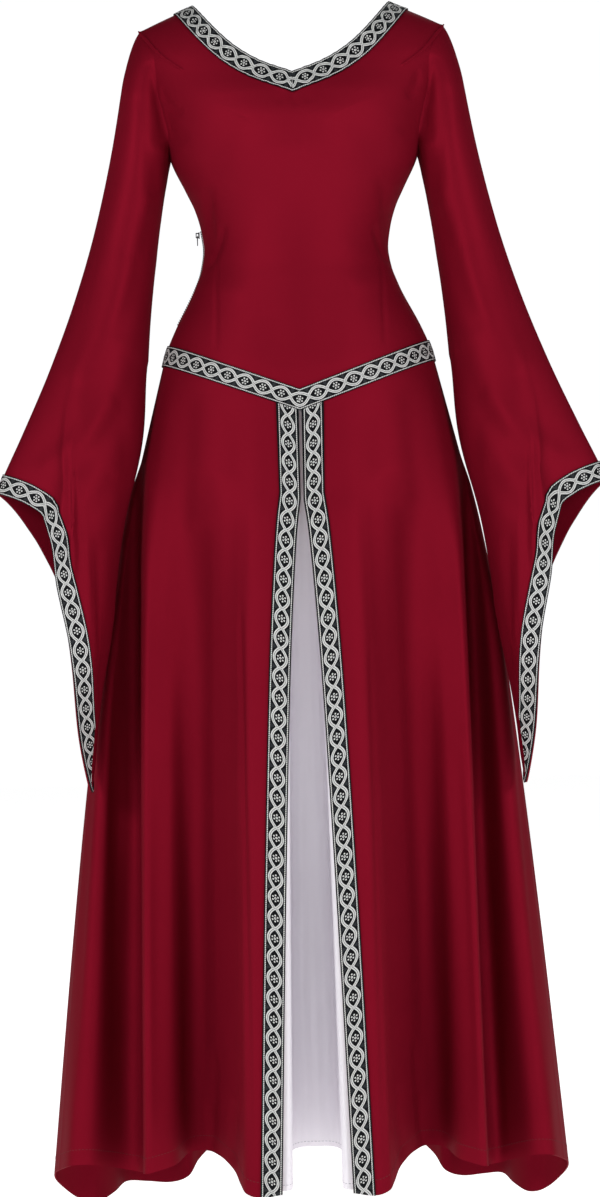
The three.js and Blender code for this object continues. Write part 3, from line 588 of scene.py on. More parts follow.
def bodice_outer_edge(share):
    """Angle and level on the outer edge of half a bodice panel, from the neck point to the girdle."""
    shoulder_x = mix(NECK_POINT_X, ARMHOLE["x"][0], share / SHOULDER_SHARE)
    shoulder_z = ridge_height(shoulder_x)
    hole_angle, hole_z = armhole_place(
        np.clip((share - SHOULDER_SHARE) / (ARMHOLE_SHARE - SHOULDER_SHARE), 0, 1)
    )
    side_z = mix(ARMHOLE["z"][-1], GIRDLE_SIDE_Z, (share - ARMHOLE_SHARE) / (1 - ARMHOLE_SHARE))
    on_shoulder, on_hole = share < SHOULDER_SHARE, share < ARMHOLE_SHARE
    angle = np.where(on_shoulder, angle_at(shoulder_x, shoulder_z), np.where(on_hole, hole_angle, 90))
    return angle, np.where(on_shoulder, shoulder_z, np.where(on_hole, hole_z, side_z))


def bodice_point(facing, across, down):
    """A point of a bodice panel: across from -1 to 1 and down from the neckline to the girdle."""
    front = facing == "front"
    side = np.abs(across)
    neck_rows = FRONT_NECK if front else BACK_NECK

    def neck(share):
        z = along(neck_rows, "at", "z", share)
        return angle_at(along(neck_rows, "at", "x", share), z), z

    def girdle(share):
        angle = share * 90.0
        return angle, girdle_height(angle) if front else GIRDLE_SIDE_Z + 0 * angle

    necks, girdles, outer = neck(side), girdle(side), bodice_outer_edge(down)
    zero, one = np.zeros_like(side), np.ones_like(side)
    mid_top, mid_foot, side_top, side_foot = neck(zero), girdle(zero), neck(one), girdle(one)
    centre = (0 * down, mix(mid_top[1], mid_foot[1], down))
    found = []
    for k in (0, 1):
        value = mix(necks[k], girdles[k], down) + mix(centre[k], outer[k], side)
        corner = mix(mix(mid_top[k], mid_foot[k], down), mix(side_top[k], side_foot[k], down), side)
        found.append(value - corner)
    angle = found[0] if front else 180 - found[0]
    return off_seam(body_point(angle * np.where(across < 0, -1, 1), found[1]), front)


def skirt_fall(top, hip, hem, down):
    """Value on the way down the skirt: from the girdle over the hip, then opening out to the hem."""
    over_hip = np.clip(down / HIP_SHARE, 0, 1)
    opened = along(FLARE, "down", "open", (down - HIP_SHARE) / (1 - HIP_SHARE))
    return mix(mix(top, hip, over_hip), hem, opened)


def skirt_point(folds, side, place, down):
    """A point of a skirt panel on one of its fold lines, at a share of its drop."""
    top_angle = along_folds(folds, "top", place)
    hip_angle = np.radians(along_folds(folds, "hip", place))
    top = body_point(top_angle, girdle_height(top_angle))
    hip_depth = np.where(np.cos(hip_angle) > 0, HIP_FRONT, HIP_BACK)
    hem_x = along_folds(folds, "x", place)
    spread = ease((hem_x - SPREAD_FROM_X) / (SPREAD_FULL_X - SPREAD_FROM_X))
    hem_x = hem_x * mix(1, SIDE_SPREAD[side], spread)
    x = skirt_fall(top[..., 0], HIP_HALF * np.sin(hip_angle), hem_x, down) * (-1 if side == "left" else 1)
    y = skirt_fall(top[..., 1], -hip_depth * np.cos(hip_angle), along_folds(folds, "y", place), down)
    z = mix(top[..., 2] - SEAM_GAP / 2, along_folds(folds, "z", place), down)
    return off_seam(np.stack([x, y, z], axis=-1), folds is FRONT_FOLDS)


def inset_point(across, down):
    """A point of the inset: across counts fold lines from the centre, negative to the left."""
    inward = CLOTH_WALL + INSET_LIFT
    place, sign = np.abs(across), np.where(across < 0, -1, 1)
    top_x = along_folds(INSET_FOLDS, "top", place)
    angle = angle_at(top_x, GIRDLE_POINT_Z + 0 * top_x)
    top = body_point(angle, girdle_height(angle), inward)
    hip_y = -(HIP_FRONT - inward) * np.cos(np.arcsin(top_x / HIP_HALF))
    x = skirt_fall(top_x, top_x, along_folds(INSET_FOLDS, "x", place), down) * sign
    y = skirt_fall(top[..., 1], hip_y, along_folds(INSET_FOLDS, "y", place), down)
    z = mix(top[..., 2] - SEAM_GAP, along_folds(INSET_FOLDS, "z", place), down)
    return np.stack([x, y, z], axis=-1)


def armhole_edge(over_front, at):
    """The edge of the right armhole, a little inside which the sleeve's head is tucked."""
    angle, z = armhole_place(at)
    edge = body_point(np.where(over_front, angle, 180 - angle), z)
    edge[..., 0] -= SEAM_TUCK
    return edge


def plain_sleeve(down, degrees):
    """A point of the right sleeve before its cuff band is squared to the edge."""
    turn = np.radians(degrees)
    over_front = np.sin(turn) >= 0
    value = {name: along(SLEEVE, "down", name, down) for name in SLEEVE}
    outer = np.stack([value["outX"], value["mid"], value["outZ"]], axis=-1)
    inner = np.stack([value["inX"], value["mid"], value["inZ"]], axis=-1)
    middle = (outer + inner) / 2
    depth = np.where(over_front, value["front"], value["back"])
    ring = middle + (outer - middle) * np.cos(turn)[..., None]
    ring[..., 1] -= depth * np.sin(turn)
    chord = (1 - np.cos(turn)) / 2
    bow = np.where(over_front, along(CUFF_BOW, "at", "front", chord), along(CUFF_BOW, "at", "back", chord))
    run = inner - outer
    inward = unit(np.stack([run[..., 2], 0 * down, -run[..., 0]], axis=-1))
    ring = ring + inward * (bow * down**CUFF_BOW_POWER)[..., None]
    folded = np.where(degrees <= 180, degrees, 360 - degrees)
    edge = armhole_edge(over_front, folded / 180)
    return mix(edge, ring, ease(down / SLEEVE_HEAD)[..., None])


def cuff_edge(degrees):
    """The cuff's edge, and the way to the ribbon's upper side with the ribbon's width there."""
    one = np.ones_like(degrees)
    edge = plain_sleeve(one, degrees)
    tangent = unit(plain_sleeve(one, (degrees + 1) % 360) - plain_sleeve(one, (degrees - 1) % 360))
    up = plain_sleeve(one * UP_FROM, degrees) - edge
    up = unit(up - tangent * np.sum(up * tangent, axis=-1, keepdims=True))
    level = np.linspace(FOLD_FROM, 1, FOLD_STEPS)
    fold = plain_sleeve(level, 180.0 + 0 * level)
    away = np.linalg.norm((edge[..., None, :] - fold)[..., ::2], axis=-1).min(axis=-1)
    width = np.clip(away * np.where(degrees > 180, BACK_BAND_RATIO, 1), BAND_LEAST, RIBBON_WIDTH)
    return edge, up, width


def sleeve_point(row, degrees):
    """A point of the right sleeve: row from the armhole to the cuff, and degrees round it."""
    edge, up, width = cuff_edge(degrees)
    band_top = edge + up * width[..., None]
    above = np.clip(row / BAND_ROW, 0, 1) * BAND_FROM
    shift = band_top - plain_sleeve(BAND_FROM + 0 * row, degrees)
    turned = ease((row / BAND_ROW - BAND_TURN) / (1 - BAND_TURN))
    upper = plain_sleeve(above, degrees) + shift * turned[..., None]
    in_band = np.clip((row - BAND_ROW) / (1 - BAND_ROW), 0, 1)
    return np.where((row <= BAND_ROW)[..., None], upper, mix(band_top, edge, in_band[..., None]))


# Creases

def crease_height(points, creases, ratio):
    """Height of listed creases at points seen flat from the front."""
    height = np.zeros(points.shape[:-1])
    x, z = points[..., 0], points[..., 2]
    for x0, z0, x1, z1, bow, wide, high in zip(*creases.values()):
        run = np.array([x1 - x0, z1 - z0])
        length = np.hypot(*run)
        t = ((x - x0) * run[0] + (z - z0) * run[1]) / length**2
        aside = ((x - x0) * run[1] - (z - z0) * run[0]) / length
        inside = np.clip(t, 0, 1)
        aside = aside - bow * 4 * inside * (1 - inside)
        beyond = (t - inside) * length
        near = np.exp(-(aside**2 + beyond**2) / wide**2)
        height += ratio * high * near * np.sqrt(np.clip(4 * inside * (1 - inside), 0, 1))
    return height


def normals_of(points, closed=False):
    """Unit normals of a grid of points; they face out where rows run down and columns run right."""
    if closed:
        across = np.roll(points, -1, axis=1) - np.roll(points, 1, axis=1)
    else:
        across = np.gradient(points, axis=1)
    return unit(np.cross(np.gradient(points, axis=0), across))


def spread_creases(points, creases, ratio, keep, closed=False):
    """The grid with creases raised along its normals, by the share of each point that keep gives."""
    height = crease_height(points, creases, ratio) * keep
    return points + normals_of(points, closed) * height[..., None]


# Pieces from grids

def only_select(obj):
    """Makes obj the one selected and active object."""
    bpy.ops.object.select_all(action="DESELECT")
    obj.select_set(True)
    bpy.context.view_layer.objects.active = obj


def name_new(name):
    """The object that an operator has just added, under its name."""
    obj = bpy.context.object
    obj.name = obj.data.name = name
    return obj


def vertex_places(mesh):
    """Places of a mesh's vertices, one in each row."""
    flat = np.zeros(len(mesh.vertices) * 3)
    mesh.vertices.foreach_get("co", flat)
    return flat.reshape(-1, 3)


def place_vertices(mesh, places):
    """Moves a mesh's vertices to these places."""
    mesh.vertices.foreach_set("co", places.ravel())
    mesh.update()


def sheet_from(name, points, wall, material, texture=None, closed=False):
    """A cloth shell on a grid of points in millimetres, rows down and columns right as seen from outside."""
    if closed:
        points = np.concatenate([points, points[:, :1]], axis=1)
    rows, columns = points.shape[:2]
    if texture is None:
        across, down = lengths(points, 1), lengths(points, 0)
        texture = np.stack([across - across[:, columns // 2][:, None], -down], axis=-1)
    bpy.ops.object.select_all(action="DESELECT")
    bpy.ops.mesh.primitive_grid_add(x_subdivisions=columns - 1, y_subdivisions=rows - 1, size=2)
    obj = name_new(name)
    mesh = obj.data
    flat = vertex_places(mesh)
    column = np.rint((flat[:, 0] + 1) / 2 * (columns - 1)).astype(int)
    row = np.rint((1 - flat[:, 1]) / 2 * (rows - 1)).astype(int)
    corner = np.zeros(len(mesh.loops), int)
    mesh.loops.foreach_get("vertex_index", corner)
    mesh.uv_layers[0].data.foreach_set("uv", (texture[row[corner], column[corner]] * MM).ravel())
    place_vertices(mesh, points[row, column] * MM)
    only_select(obj)
    if closed:
        bpy.ops.object.mode_set(mode="EDIT")
        bpy.ops.mesh.select_all(action="SELECT")
        bpy.ops.mesh.remove_doubles(threshold=1e-6)
        bpy.ops.object.mode_set(mode="OBJECT")
    mesh.materials.append(material)
    shell = obj.modifiers.new("Wall", "SOLIDIFY")
    shell.thickness = wall * MM
    shell.offset = -1
    bpy.ops.object.modifier_apply(modifier=shell.name)
    bpy.ops.object.shade_smooth_by_angle(angle=math.radians(50))
    return obj


def repeat_piece(obj, count, step):
    """Repeats a piece in a straight row."""
    only_select(obj)
    repeat = obj.modifiers.new("Row", "ARRAY")
    repeat.count = count
    repeat.use_relative_offset = False
    repeat.use_constant_offset = True
    repeat.constant_offset_displace = step
    bpy.ops.object.modifier_apply(modifier=repeat.name)


def finish_piece(obj, slot, *nodes):
    """The piece rides on the gown and stands for its CAD nodes; the finish slot is not used."""
    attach(obj, "gown")
    if nodes:
        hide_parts(*nodes)
    return obj


def hang_panel(node, points, wall, key="crimson", slot="crimson_cloth", closed=False):
    """The cloth of a panel on its grid, in place of its CAD node."""
    obj = sheet_from(node + "_cloth", points, wall, material_for(key), closed=closed)
    finish_piece(obj, slot, node)


# Materials

def fill_sockets(tree, node, values):
    """Links a node's sockets to the outputs of other nodes, or sets their values."""
    for socket, value in values:
        if isinstance(value, bpy.types.NodeSocket):
            tree.links.new(value, node.inputs[socket])
        else:
            node.inputs[socket].default_value = value


def add_node(tree, kind, values=(), **settings):
    """Adds a shader node with its own settings and its sockets' links and values."""
    node = tree.nodes.new(kind)
    for name, value in settings.items():
        setattr(node, name, value)
    fill_sockets(tree, node, values)
    return node


def new_material(name):
    """A node material with its tree and its Principled shader."""
    material = bpy.data.materials.new(name)
    material.use_nodes = True
    return material, material.node_tree, material.node_tree.nodes["Principled BSDF"]


def cloth_material(name, lit, deep, roughness, gleam, relief):
    """Woven cloth: two close tones, a soft gleam of its own colour and a faint weave."""
    material, tree, shader = new_material(name)
    place = add_node(tree, "ShaderNodeTexCoord").outputs["Object"]
    tone, weave = (
        add_node(tree, "ShaderNodeTexNoise", [("Vector", place), ("Scale", scale), ("Detail", octaves)])
        for scale, octaves in ((1 / (TONE_SIZE * MM), 3.0), (1 / (WEAVE_SIZE * MM), 2.0))
    )
    colour = add_node(tree, "ShaderNodeMix", [(0, tone.outputs[0]), (6, deep), (7, lit)], data_type="RGBA")
    bump = add_node(
        tree, "ShaderNodeBump", [("Height", weave.outputs[0]), ("Strength", relief), ("Distance", 0.4 * MM)]
    )
    surface = {
        "Base Color": colour.outputs[2],
        "Normal": bump.outputs[0],
        "Roughness": roughness,
        "Metallic": gleam,
        "Specular IOR Level": 0.05,
        "Specular Tint": lit,
        "Sheen Weight": 0.02,
        "Sheen Roughness": 0.45,
        "Sheen Tint": lit,
    }
    fill_sockets(tree, shader, surface.items())
    return material


def between(name, value, bounds):
    """Pattern steps that give 1 where a value lies between two bounds."""
    return (
        (name + " from", "GREATER_THAN", value, bounds[0]),
        (name + " to", "LESS_THAN", value, bounds[1]),
        (name, "MULTIPLY", name + " from", name + " to"),
    )


def strand(name, sign):
    """Pattern steps of one strand: the whole band, and the silver inside its dark outline and groove."""
    return (
        (name + " middle", "MULTIPLY", "wave", STRAND_SWING * sign),
        (name + " off", "SUBTRACT", "side", name + " middle"),
        (name + " square", "DIVIDE", name + " off", "slant"),
        (name + " away", "ABSOLUTE", name + " square"),
        (name + " band", "LESS_THAN", name + " away", STRAND_HALF + STRAND_OUTLINE),
        *between(name + " silver", name + " away", (STRAND_GROOVE, STRAND_HALF)),
    )


def crossing(name, upper, lower):
    """Pattern steps of the two strands where the upper one passes over the lower."""
    return (
        (name + " clear", "SUBTRACT", 1.0, upper + " band"),
        (name + " under", "MULTIPLY", lower + " silver", name + " clear"),
        (name, "MAXIMUM", upper + " silver", name + " under"),
    )


# The ribbon's pattern as a chain of steps: the name of a value, how it is worked out, and the
# values or numbers that it is worked out from. u and v are metres along and across the ribbon
PATTERN_STEPS = (
    ("run", "MULTIPLY", "u", 1 / MM),
    ("width", "MULTIPLY", "v", 1 / MM),
    ("side", "SUBTRACT", "width", RIBBON_WIDTH / 2),
    ("edge", "ABSOLUTE", "side"),
    # A wave rounder than a sine, and how much its slant widens a line across the ribbon
    ("turn", "MULTIPLY", "run", math.pi / PATTERN_PITCH),
    ("sine", "SINE", "turn"),
    ("direction", "SIGN", "sine"),
    ("sine size", "ABSOLUTE", "sine"),
    ("rise", "MAXIMUM", "sine size", LEAST_RISE),
    ("round rise", "POWER", "rise", ROUNDING),
    ("wave", "MULTIPLY", "direction", "round rise"),
    ("cosine", "COSINE", "turn"),
    ("lean", "POWER", "rise", ROUNDING - 1),
    ("slope", "MULTIPLY", "cosine", "lean"),
    ("steep", "MULTIPLY", "slope", ROUNDING * STRAND_SWING * math.pi / PATTERN_PITCH),
    ("steep squared", "MULTIPLY", "steep", "steep"),
    ("slant squared", "ADD", 1.0, "steep squared"),
    ("slant", "SQRT", "slant squared"),
    *strand("first", 1),
    *strand("second", -1),
    # The strands take turns to pass over
    ("shifted run", "ADD", "run", PATTERN_PITCH / 2),
    ("place in pair", "FLOORED_MODULO", "shifted run", 2 * PATTERN_PITCH),
    ("first turn", "GREATER_THAN", "place in pair", PATTERN_PITCH),
    ("second turn", "SUBTRACT", 1.0, "first turn"),
    *crossing("first over", "first", "second"),
    *crossing("second over", "second", "first"),
    ("first woven", "MULTIPLY", "first over", "first turn"),
    ("second woven", "MULTIPLY", "second over", "second turn"),
    ("woven", "ADD", "first woven", "second woven"),
    # Six dots round an eye in the middle of each ring
    ("place in ring", "FLOORED_MODULO", "run", PATTERN_PITCH),
    ("centre", "SUBTRACT", "place in ring", PATTERN_PITCH / 2),
    ("centre squared", "MULTIPLY", "centre", "centre"),
    ("side squared", "MULTIPLY", "side", "side"),
    ("radius squared", "ADD", "centre squared", "side squared"),
    ("radius", "SQRT", "radius squared"),
    ("bearing", "ARCTAN2", "side", "centre"),
    ("shifted bearing", "ADD", "bearing", DOT_SECTOR / 2),
    ("sector", "FLOORED_MODULO", "shifted bearing", DOT_SECTOR),
    ("to ray", "SUBTRACT", "sector", DOT_SECTOR / 2),
    ("ray share", "COSINE", "to ray"),
    ("on ray", "MULTIPLY", "radius", "ray share"),
    ("reach", "MULTIPLY", "on ray", 2 * DOT_RING),
    ("both squared", "ADD", "radius squared", DOT_RING**2),
    ("to dot", "SUBTRACT", "both squared", "reach"),
    ("dots", "LESS_THAN", "to dot", DOT_RADIUS**2),
    *between("eye", "radius", EYE),
    ("rosette", "MAXIMUM", "dots", "eye"),
    # A twisted cord along each selvedge
    ("slanted run", "ADD", "run", "side"),
    ("cord turn", "MULTIPLY", "slanted run", 2 * math.pi / SELVEDGE_PITCH),
    ("twist", "SINE", "cord turn"),
    ("cord lit", "GREATER_THAN", "twist", SELVEDGE_TWIST),
    *between("selvedge", "edge", SELVEDGE),
    ("cord", "MULTIPLY", "selvedge", "cord lit"),
    ("strands and rosette", "MAXIMUM", "woven", "rosette"),
    ("silver", "MAXIMUM", "strands and rosette", "cord"),
    # Dark wedges that widen from each crossing to the selvedge
    ("centre size", "ABSOLUTE", "centre"),
    ("from crossing", "SUBTRACT", PATTERN_PITCH / 2, "centre size"),
    ("past tip", "SUBTRACT", "edge", WEDGE_TIP),
    ("wedge half", "MULTIPLY", "past tip", WEDGE_SLOPE),
    ("in wedge", "LESS_THAN", "from crossing", "wedge half"),
    *between("wedge zone", "edge", WEDGE),
    ("wedge", "MULTIPLY", "in wedge", "wedge zone"),
    ("grain height", "MULTIPLY", "grain", THREAD_RELIEF),
    ("relief", "ADD", "silver", "grain height"),
)


def ribbon_material(silver, ground):
    """Ribbon with two silver strands that cross, a rosette in each ring and corded edges."""
    material, tree, shader = new_material("Jacquard ribbon")
    texture = add_node(tree, "ShaderNodeSeparateXYZ", [(0, add_node(tree, "ShaderNodeUVMap").outputs[0])])
    place = add_node(tree, "ShaderNodeTexCoord").outputs["Object"]
    grain = add_node(
        tree, "ShaderNodeTexNoise", [("Vector", place), ("Scale", 1 / (THREAD_SIZE * MM)), ("Detail", 2.0)]
    )
    known = {"u": texture.outputs[0], "v": texture.outputs[1], "grain": grain.outputs[0]}
    for name, operation, *operands in PATTERN_STEPS:
        values = [known[operand] if isinstance(operand, str) else operand for operand in operands]
        known[name] = add_node(tree, "ShaderNodeMath", enumerate(values), operation=operation).outputs[0]
    known["grey"], known["dark"] = linear(RIBBON_GREY), linear(RIBBON_WEDGE)
    known["bright"], known["ground"] = silver, ground
    for name, share, low, high in (
        ("thread", "grain", "grey", "bright"),
        ("under", "wedge", "ground", "dark"),
        ("colour", "silver", "under", "thread"),
    ):
        values = [(0, known[share]), (6, known[low]), (7, known[high])]
        known[name] = add_node(tree, "ShaderNodeMix", values, data_type="RGBA").outputs[2]
    bump = add_node(
        tree, "ShaderNodeBump", [("Height", known["relief"]), ("Strength", 0.5), ("Distance", 0.3 * MM)]
    )
    surface = {
        "Base Color": known["colour"],
        "Normal": bump.outputs[0],
        "Roughness": 0.6,
        "Specular IOR Level": 0.1,
    }
    fill_sockets(tree, shader, surface.items())
    return material


def plain_material(name, colour, roughness):
    """One even colour."""
    material, tree, shader = new_material(name)
    surface = {"Base Color": linear(colour), "Roughness": roughness, "Metallic": 0.0}
    fill_sockets(tree, shader, surface.items())
    return material


MAKERS = {
    # Closely woven dress cloth: an even, nearly matt crimson with a soft gleam along its folds
    "crimson": lambda scene: cloth_material(
        "Crimson cloth",
        tuple(scene.gown_cloth.crimson),
        linear(CRIMSON_DEEP),
        roughness=0.58,
        gleam=0.32,
        relief=0.10,
    ),
    # Satin weave: a smoother white, a little brighter where it faces the light
    "satin": lambda scene: cloth_material(
        "White satin",
        tuple(scene.gown_cloth.satin),
        linear(WHITE_SHADE),
        roughness=0.5,
        gleam=0.1,
        relief=0.06,
    ),
    # Jacquard weave: silver threads that stand a little proud of a dull dark ground
    "ribbon": lambda scene: ribbon_material(tuple(scene.gown_trim.silver), tuple(scene.gown_trim.ground)),
    # Enamel baked on zip metal: even, dark and half dull
    "enamel": lambda scene: plain_material("Black enamel", BLACK_ENAMEL, 0.55),
    # Spun sewing thread: matt and darker than its cloth
    "thread": lambda scene: plain_material("Red thread", THREAD_RED, 0.8),
    "white_thread": lambda scene: plain_material("White thread", THREAD_WHITE, 0.8),
}
made_materials = {}


def material_for(key):
    """The material of that key, made when first asked for."""
    if key not in made_materials:
        made_materials[key] = MAKERS[key](bpy.context.scene)
    return made_materials[key]


# Grids of the panels

def bodice_sheet(facing, ratio):
    """Grid of a bodice panel with its creases, its rows closer at the shoulder tip."""
    across = np.linspace(-1, 1, BODICE_COLUMNS) * (1 if facing == "front" else -1)
    tip = SHOULDER_SHARE + TIP_SHARE * np.linspace(0, 1, TIP_ROWS) ** 2
    above, below = np.linspace(0, SHOULDER_SHARE, SHOULDER_ROWS), np.linspace(tip[-1], 1, BODICE_ROWS)
    across, down = np.meshgrid(across, np.concatenate([above[:-1], tip, below[1:]]))
    creases = BODICE_CREASES if facing == "front" else BACK_CREASES
    keep = ease((1 - np.abs(across)) / BODICE_SIDE_FADE) * ease((1 - down) / BODICE_FOOT_FADE)
    return spread_creases(bodice_point(facing, across, down), creases, ratio, keep)


def skirt_sheet(side, ratio):
    """Grid of a front skirt panel with its creases."""
    last = len(FRONT_FOLDS["top"]) - 1
    places = np.linspace(0, last, SKIRT_COLUMNS)
    if side == "left":
        places = places[::-1]
    places, down = np.meshgrid(places, np.linspace(0, 1, SKIRT_ROWS))
    keep = ease((places - OPENING_FADE) / OPENING_FADE) * ease(down / SKIRT_TOP_FADE)
    keep = keep * ease((last - places) / SEAM_FADE)
    return spread_creases(skirt_point(FRONT_FOLDS, side, places, down), SKIRT_CREASES, ratio, keep)


def skirt_back_sheet(ratio):
    """Grid of the back skirt panel, from the right seam round the back to the left seam."""
    last = len(BACK_FOLDS["top"]) - 1
    places, down = np.meshgrid(np.linspace(0, 2 * last, BACK_COLUMNS), np.linspace(0, 1, BACK_ROWS))
    right = places <= last
    local = np.where(right, places, 2 * last - places)
    to_right, to_left = (skirt_point(BACK_FOLDS, side, local, down) for side in ("right", "left"))
    points = np.where(right[..., None], to_right, to_left)
    keep = ease(local / SEAM_FADE) * ease(down / SKIRT_TOP_FADE)
    return spread_creases(points, SKIRT_BACK_CREASES, ratio, keep)


def inset_sheet(ratio):
    """Grid of the inset with its creases, which keep to its middle."""
    last = len(INSET_FOLDS["top"]) - 1
    across, down = np.meshgrid(np.linspace(-last, last, INSET_COLUMNS), np.linspace(0, 1, INSET_ROWS))
    keep = ease((INSET_EDGE - np.abs(across)) / INSET_FADE)
    return spread_creases(inset_point(across, down), INSET_CREASES, ratio, keep)


def sleeve_sheet(side, ratio):
    """Grid of a sleeve with its creases, closed round its tube."""
    upper, band = np.linspace(0, BAND_ROW, SLEEVE_LEVELS), np.linspace(BAND_ROW, 1, BAND_LEVELS)
    degrees, rows = np.meshgrid(SLEEVE_DEGREES, np.concatenate([upper[:-1], band]))
    keep = ease(rows / SLEEVE_FADE) * ease((BAND_ROW - rows) / SLEEVE_FADE)
    points = sleeve_point(rows, degrees)[:, ::-1]
    points = spread_creases(points, SLEEVE_CREASES, ratio, keep, closed=True)
    return points[:, ::-1] * np.array([-1, 1, 1]) if side == "left" else points


# Ribbons: each function gives the grid of the cloth under a ribbon, with the way along and the way
# across the ribbon at each point, and the ribbon's length

def pucker(points, run):
    """Small uneven ripples of a sewn ribbon along its length, from two waves that don't match."""
    turn = 2 * np.pi * run / PUCKER_PITCH
    wave = np.sin(turn) + 0.6 * np.sin(turn / 0.61 + 1.3)
    return points + normals_of(points) * (PUCKER_HIGH * wave)[..., None]


def neck_ribbon(facing):
    """A neck ribbon, which is mitred at the centre and runs out along the shoulder ridge."""
    rows = FRONT_NECK if facing == "front" else BACK_NECK
    share = np.linspace(-1, 1, RIBBON_COLUMNS)
    side = np.where(share < 0, -1, 1)
    edge_x = along(rows, "at", "x", np.abs(share)) * np.sign(share)
    edge_z = along(rows, "at", "z", np.abs(share))
    slope = np.abs(np.gradient(edge_z) / np.gradient(edge_x))
    slope[RIBBON_MIDDLE] = slope[RIBBON_MIDDLE + 1]
    steep = np.sqrt(1 + slope**2)
    tangent = np.stack([1 / steep, side * slope / steep], axis=-1)
    down = np.stack([tangent[:, 1], -tangent[:, 0]], axis=-1)
    ridge = np.stack([side * 1.0, -SHOULDER_SLOPE + 0 * share], axis=-1) / np.hypot(1, SHOULDER_SLOPE)
    mitre = np.stack([0 * share, -steep], axis=-1)
    to_ridge = ease((np.abs(share) - RIDGE_TURN) / (1 - RIDGE_TURN))[:, None]
    to_mitre = ease(1 - np.abs(share) / NECK_MITRE)[:, None]
    offset = mix(mix(down, ridge, to_ridge), mitre, to_mitre) * RIBBON_WIDTH
    width = np.linspace(0, 1, RIBBON_ROWS)[:, None]
    x = edge_x + offset[:, 0] * width
    z = np.minimum(edge_z + offset[:, 1] * width, ridge_height(x))
    angle = angle_at(x, z)
    points = off_seam(body_point(angle if facing == "front" else 180 - angle, z), facing == "front")
    edge_run = lengths(points[:1], 1)[0]
    run = edge_run - edge_run[RIBBON_MIDDLE] + np.sum(offset * tangent, axis=-1) * width
    texture = np.stack([run, np.abs(np.sum(offset * down, axis=-1)) * width], axis=-1)
    if facing == "back":
        points, texture = points[:, ::-1], texture[:, ::-1]
    return pucker(points, texture[..., 0]), texture, edge_run[-1]


def below_girdle(angle, level, drop):
    """A point of the plain top of the skirt, this far below the girdle line."""
    turn = np.radians(angle)
    depth = np.where(np.cos(turn) > 0, HIP_FRONT, HIP_BACK)
    top = body_point(angle, level)
    hip = np.stack([HIP_HALF * np.sin(turn), -depth * np.cos(turn), level - drop], axis=-1)
    share = drop / (HIP_SHARE * (level - FRONT_FOLDS["z"][0]))
    low = mix(top, hip, share[..., None])
    low[..., 2] = level - drop
    return low


def girdle_ribbon(facing):
    """A girdle ribbon: half on the bodice and half on the skirt, and mitred at its point."""
    front = facing == "front"

    def girdle(angle):
        return girdle_height(angle) if front else GIRDLE_SIDE_Z + 0 * angle

    half = np.linspace(-90, 90, RIBBON_COLUMNS)
    seam = body_point(half if front else 180 + half, girdle(half))
    run = lengths(seam[None], 1)[0]
    run -= run[RIBBON_MIDDLE]
    tangent = unit(np.gradient(seam, axis=0))
    step, bend = np.array([1.0, 0, 0]), np.zeros((len(run), 1))
    if front:
        tangent[RIBBON_MIDDLE] = (1, 0, 0)
        step = unit(seam[RIBBON_MIDDLE + 1] - seam[RIBBON_MIDDLE])
        bend = ease(1 - np.abs(run) / GIRDLE_BEND)[:, None]
    up = unit(np.array([0, 0, 1.0]) - tangent * tangent[:, 2:3])
    offset = mix(up, np.array([0, 0, 1 / step[0]]), bend) * RIBBON_WIDTH
    share = np.linspace(0.5, -0.5, GIRDLE_ROWS)[:, None]
    x, y, z = np.moveaxis(seam + offset * share[..., None], -1, 0)
    angle = np.degrees(np.arctan2(x / along(BODY, "z", "half", z), -y / along(BODY, "z", facing, z)))
    level = girdle(angle)
    upper = body_point(angle, np.maximum(z, level))
    lower = below_girdle(angle, level, np.maximum(level - z, 0))
    points = off_seam(np.where((z >= level)[..., None], upper, lower), front)
    slant = np.where(run < 0, 1, -1) * np.sqrt(1 - step[0] ** 2) * bend[:, 0] * offset[:, 2] * share
    from_edge = RIBBON_WIDTH / 2 - share * RIBBON_WIDTH + 0 * run
    texture = np.stack([run - slant + PATTERN_PITCH / 2, from_edge], axis=-1)
    return points, texture, run[-1] - run[0]


def skirt_ribbon(side):
    """The ribbon down the opening edge of a front skirt panel, from below the girdle to the hem."""
    places = np.linspace(0, 1, RIBBON_ROWS)
    if side == "left":
        places = places[::-1]
    places, down = np.meshgrid(places, np.linspace(SKIRT_RIBBON_TOP, 1, SKIRT_RIBBON_ROWS))
    points = skirt_point(FRONT_FOLDS, side, places, down)
    across, run = lengths(points, 1), lengths(points, 0) + PATTERN_PITCH / 2
    texture = np.stack([run, across - across[:, -1:] / 2 + RIBBON_WIDTH / 2], axis=-1)
    return points, texture, run[-1, 0] - run[0, 0]


def cuff_ribbon(side):
    """The ribbon round the edge of a cuff, narrowed to a mitre at its lower tip."""
    points = sleeve_sheet(side, bpy.context.scene.gown_cloth.creases)[-BAND_LEVELS:]
    edge, _, width = cuff_edge(SLEEVE_DEGREES)
    run = lengths(edge[None], 1)[0]
    total = run[-1] + np.linalg.norm(edge[0] - edge[-1])
    onward = total
    if side == "right":
        run, width, onward = run[::-1], width[::-1], -total
    from_edge = np.linspace(1, 0, BAND_LEVELS)[:, None] * width
    texture = np.stack([run + 0 * from_edge, from_edge], axis=-1)
    return points, np.concatenate([texture, texture[:, :1] + (onward, 0)], axis=1), total


RIBBONS = (
    (("front", "back"), (("neck", neck_ribbon), ("girdle", girdle_ribbon))),
    (("left", "right"), (("skirt", skirt_ribbon), ("cuff", cuff_ribbon))),
)


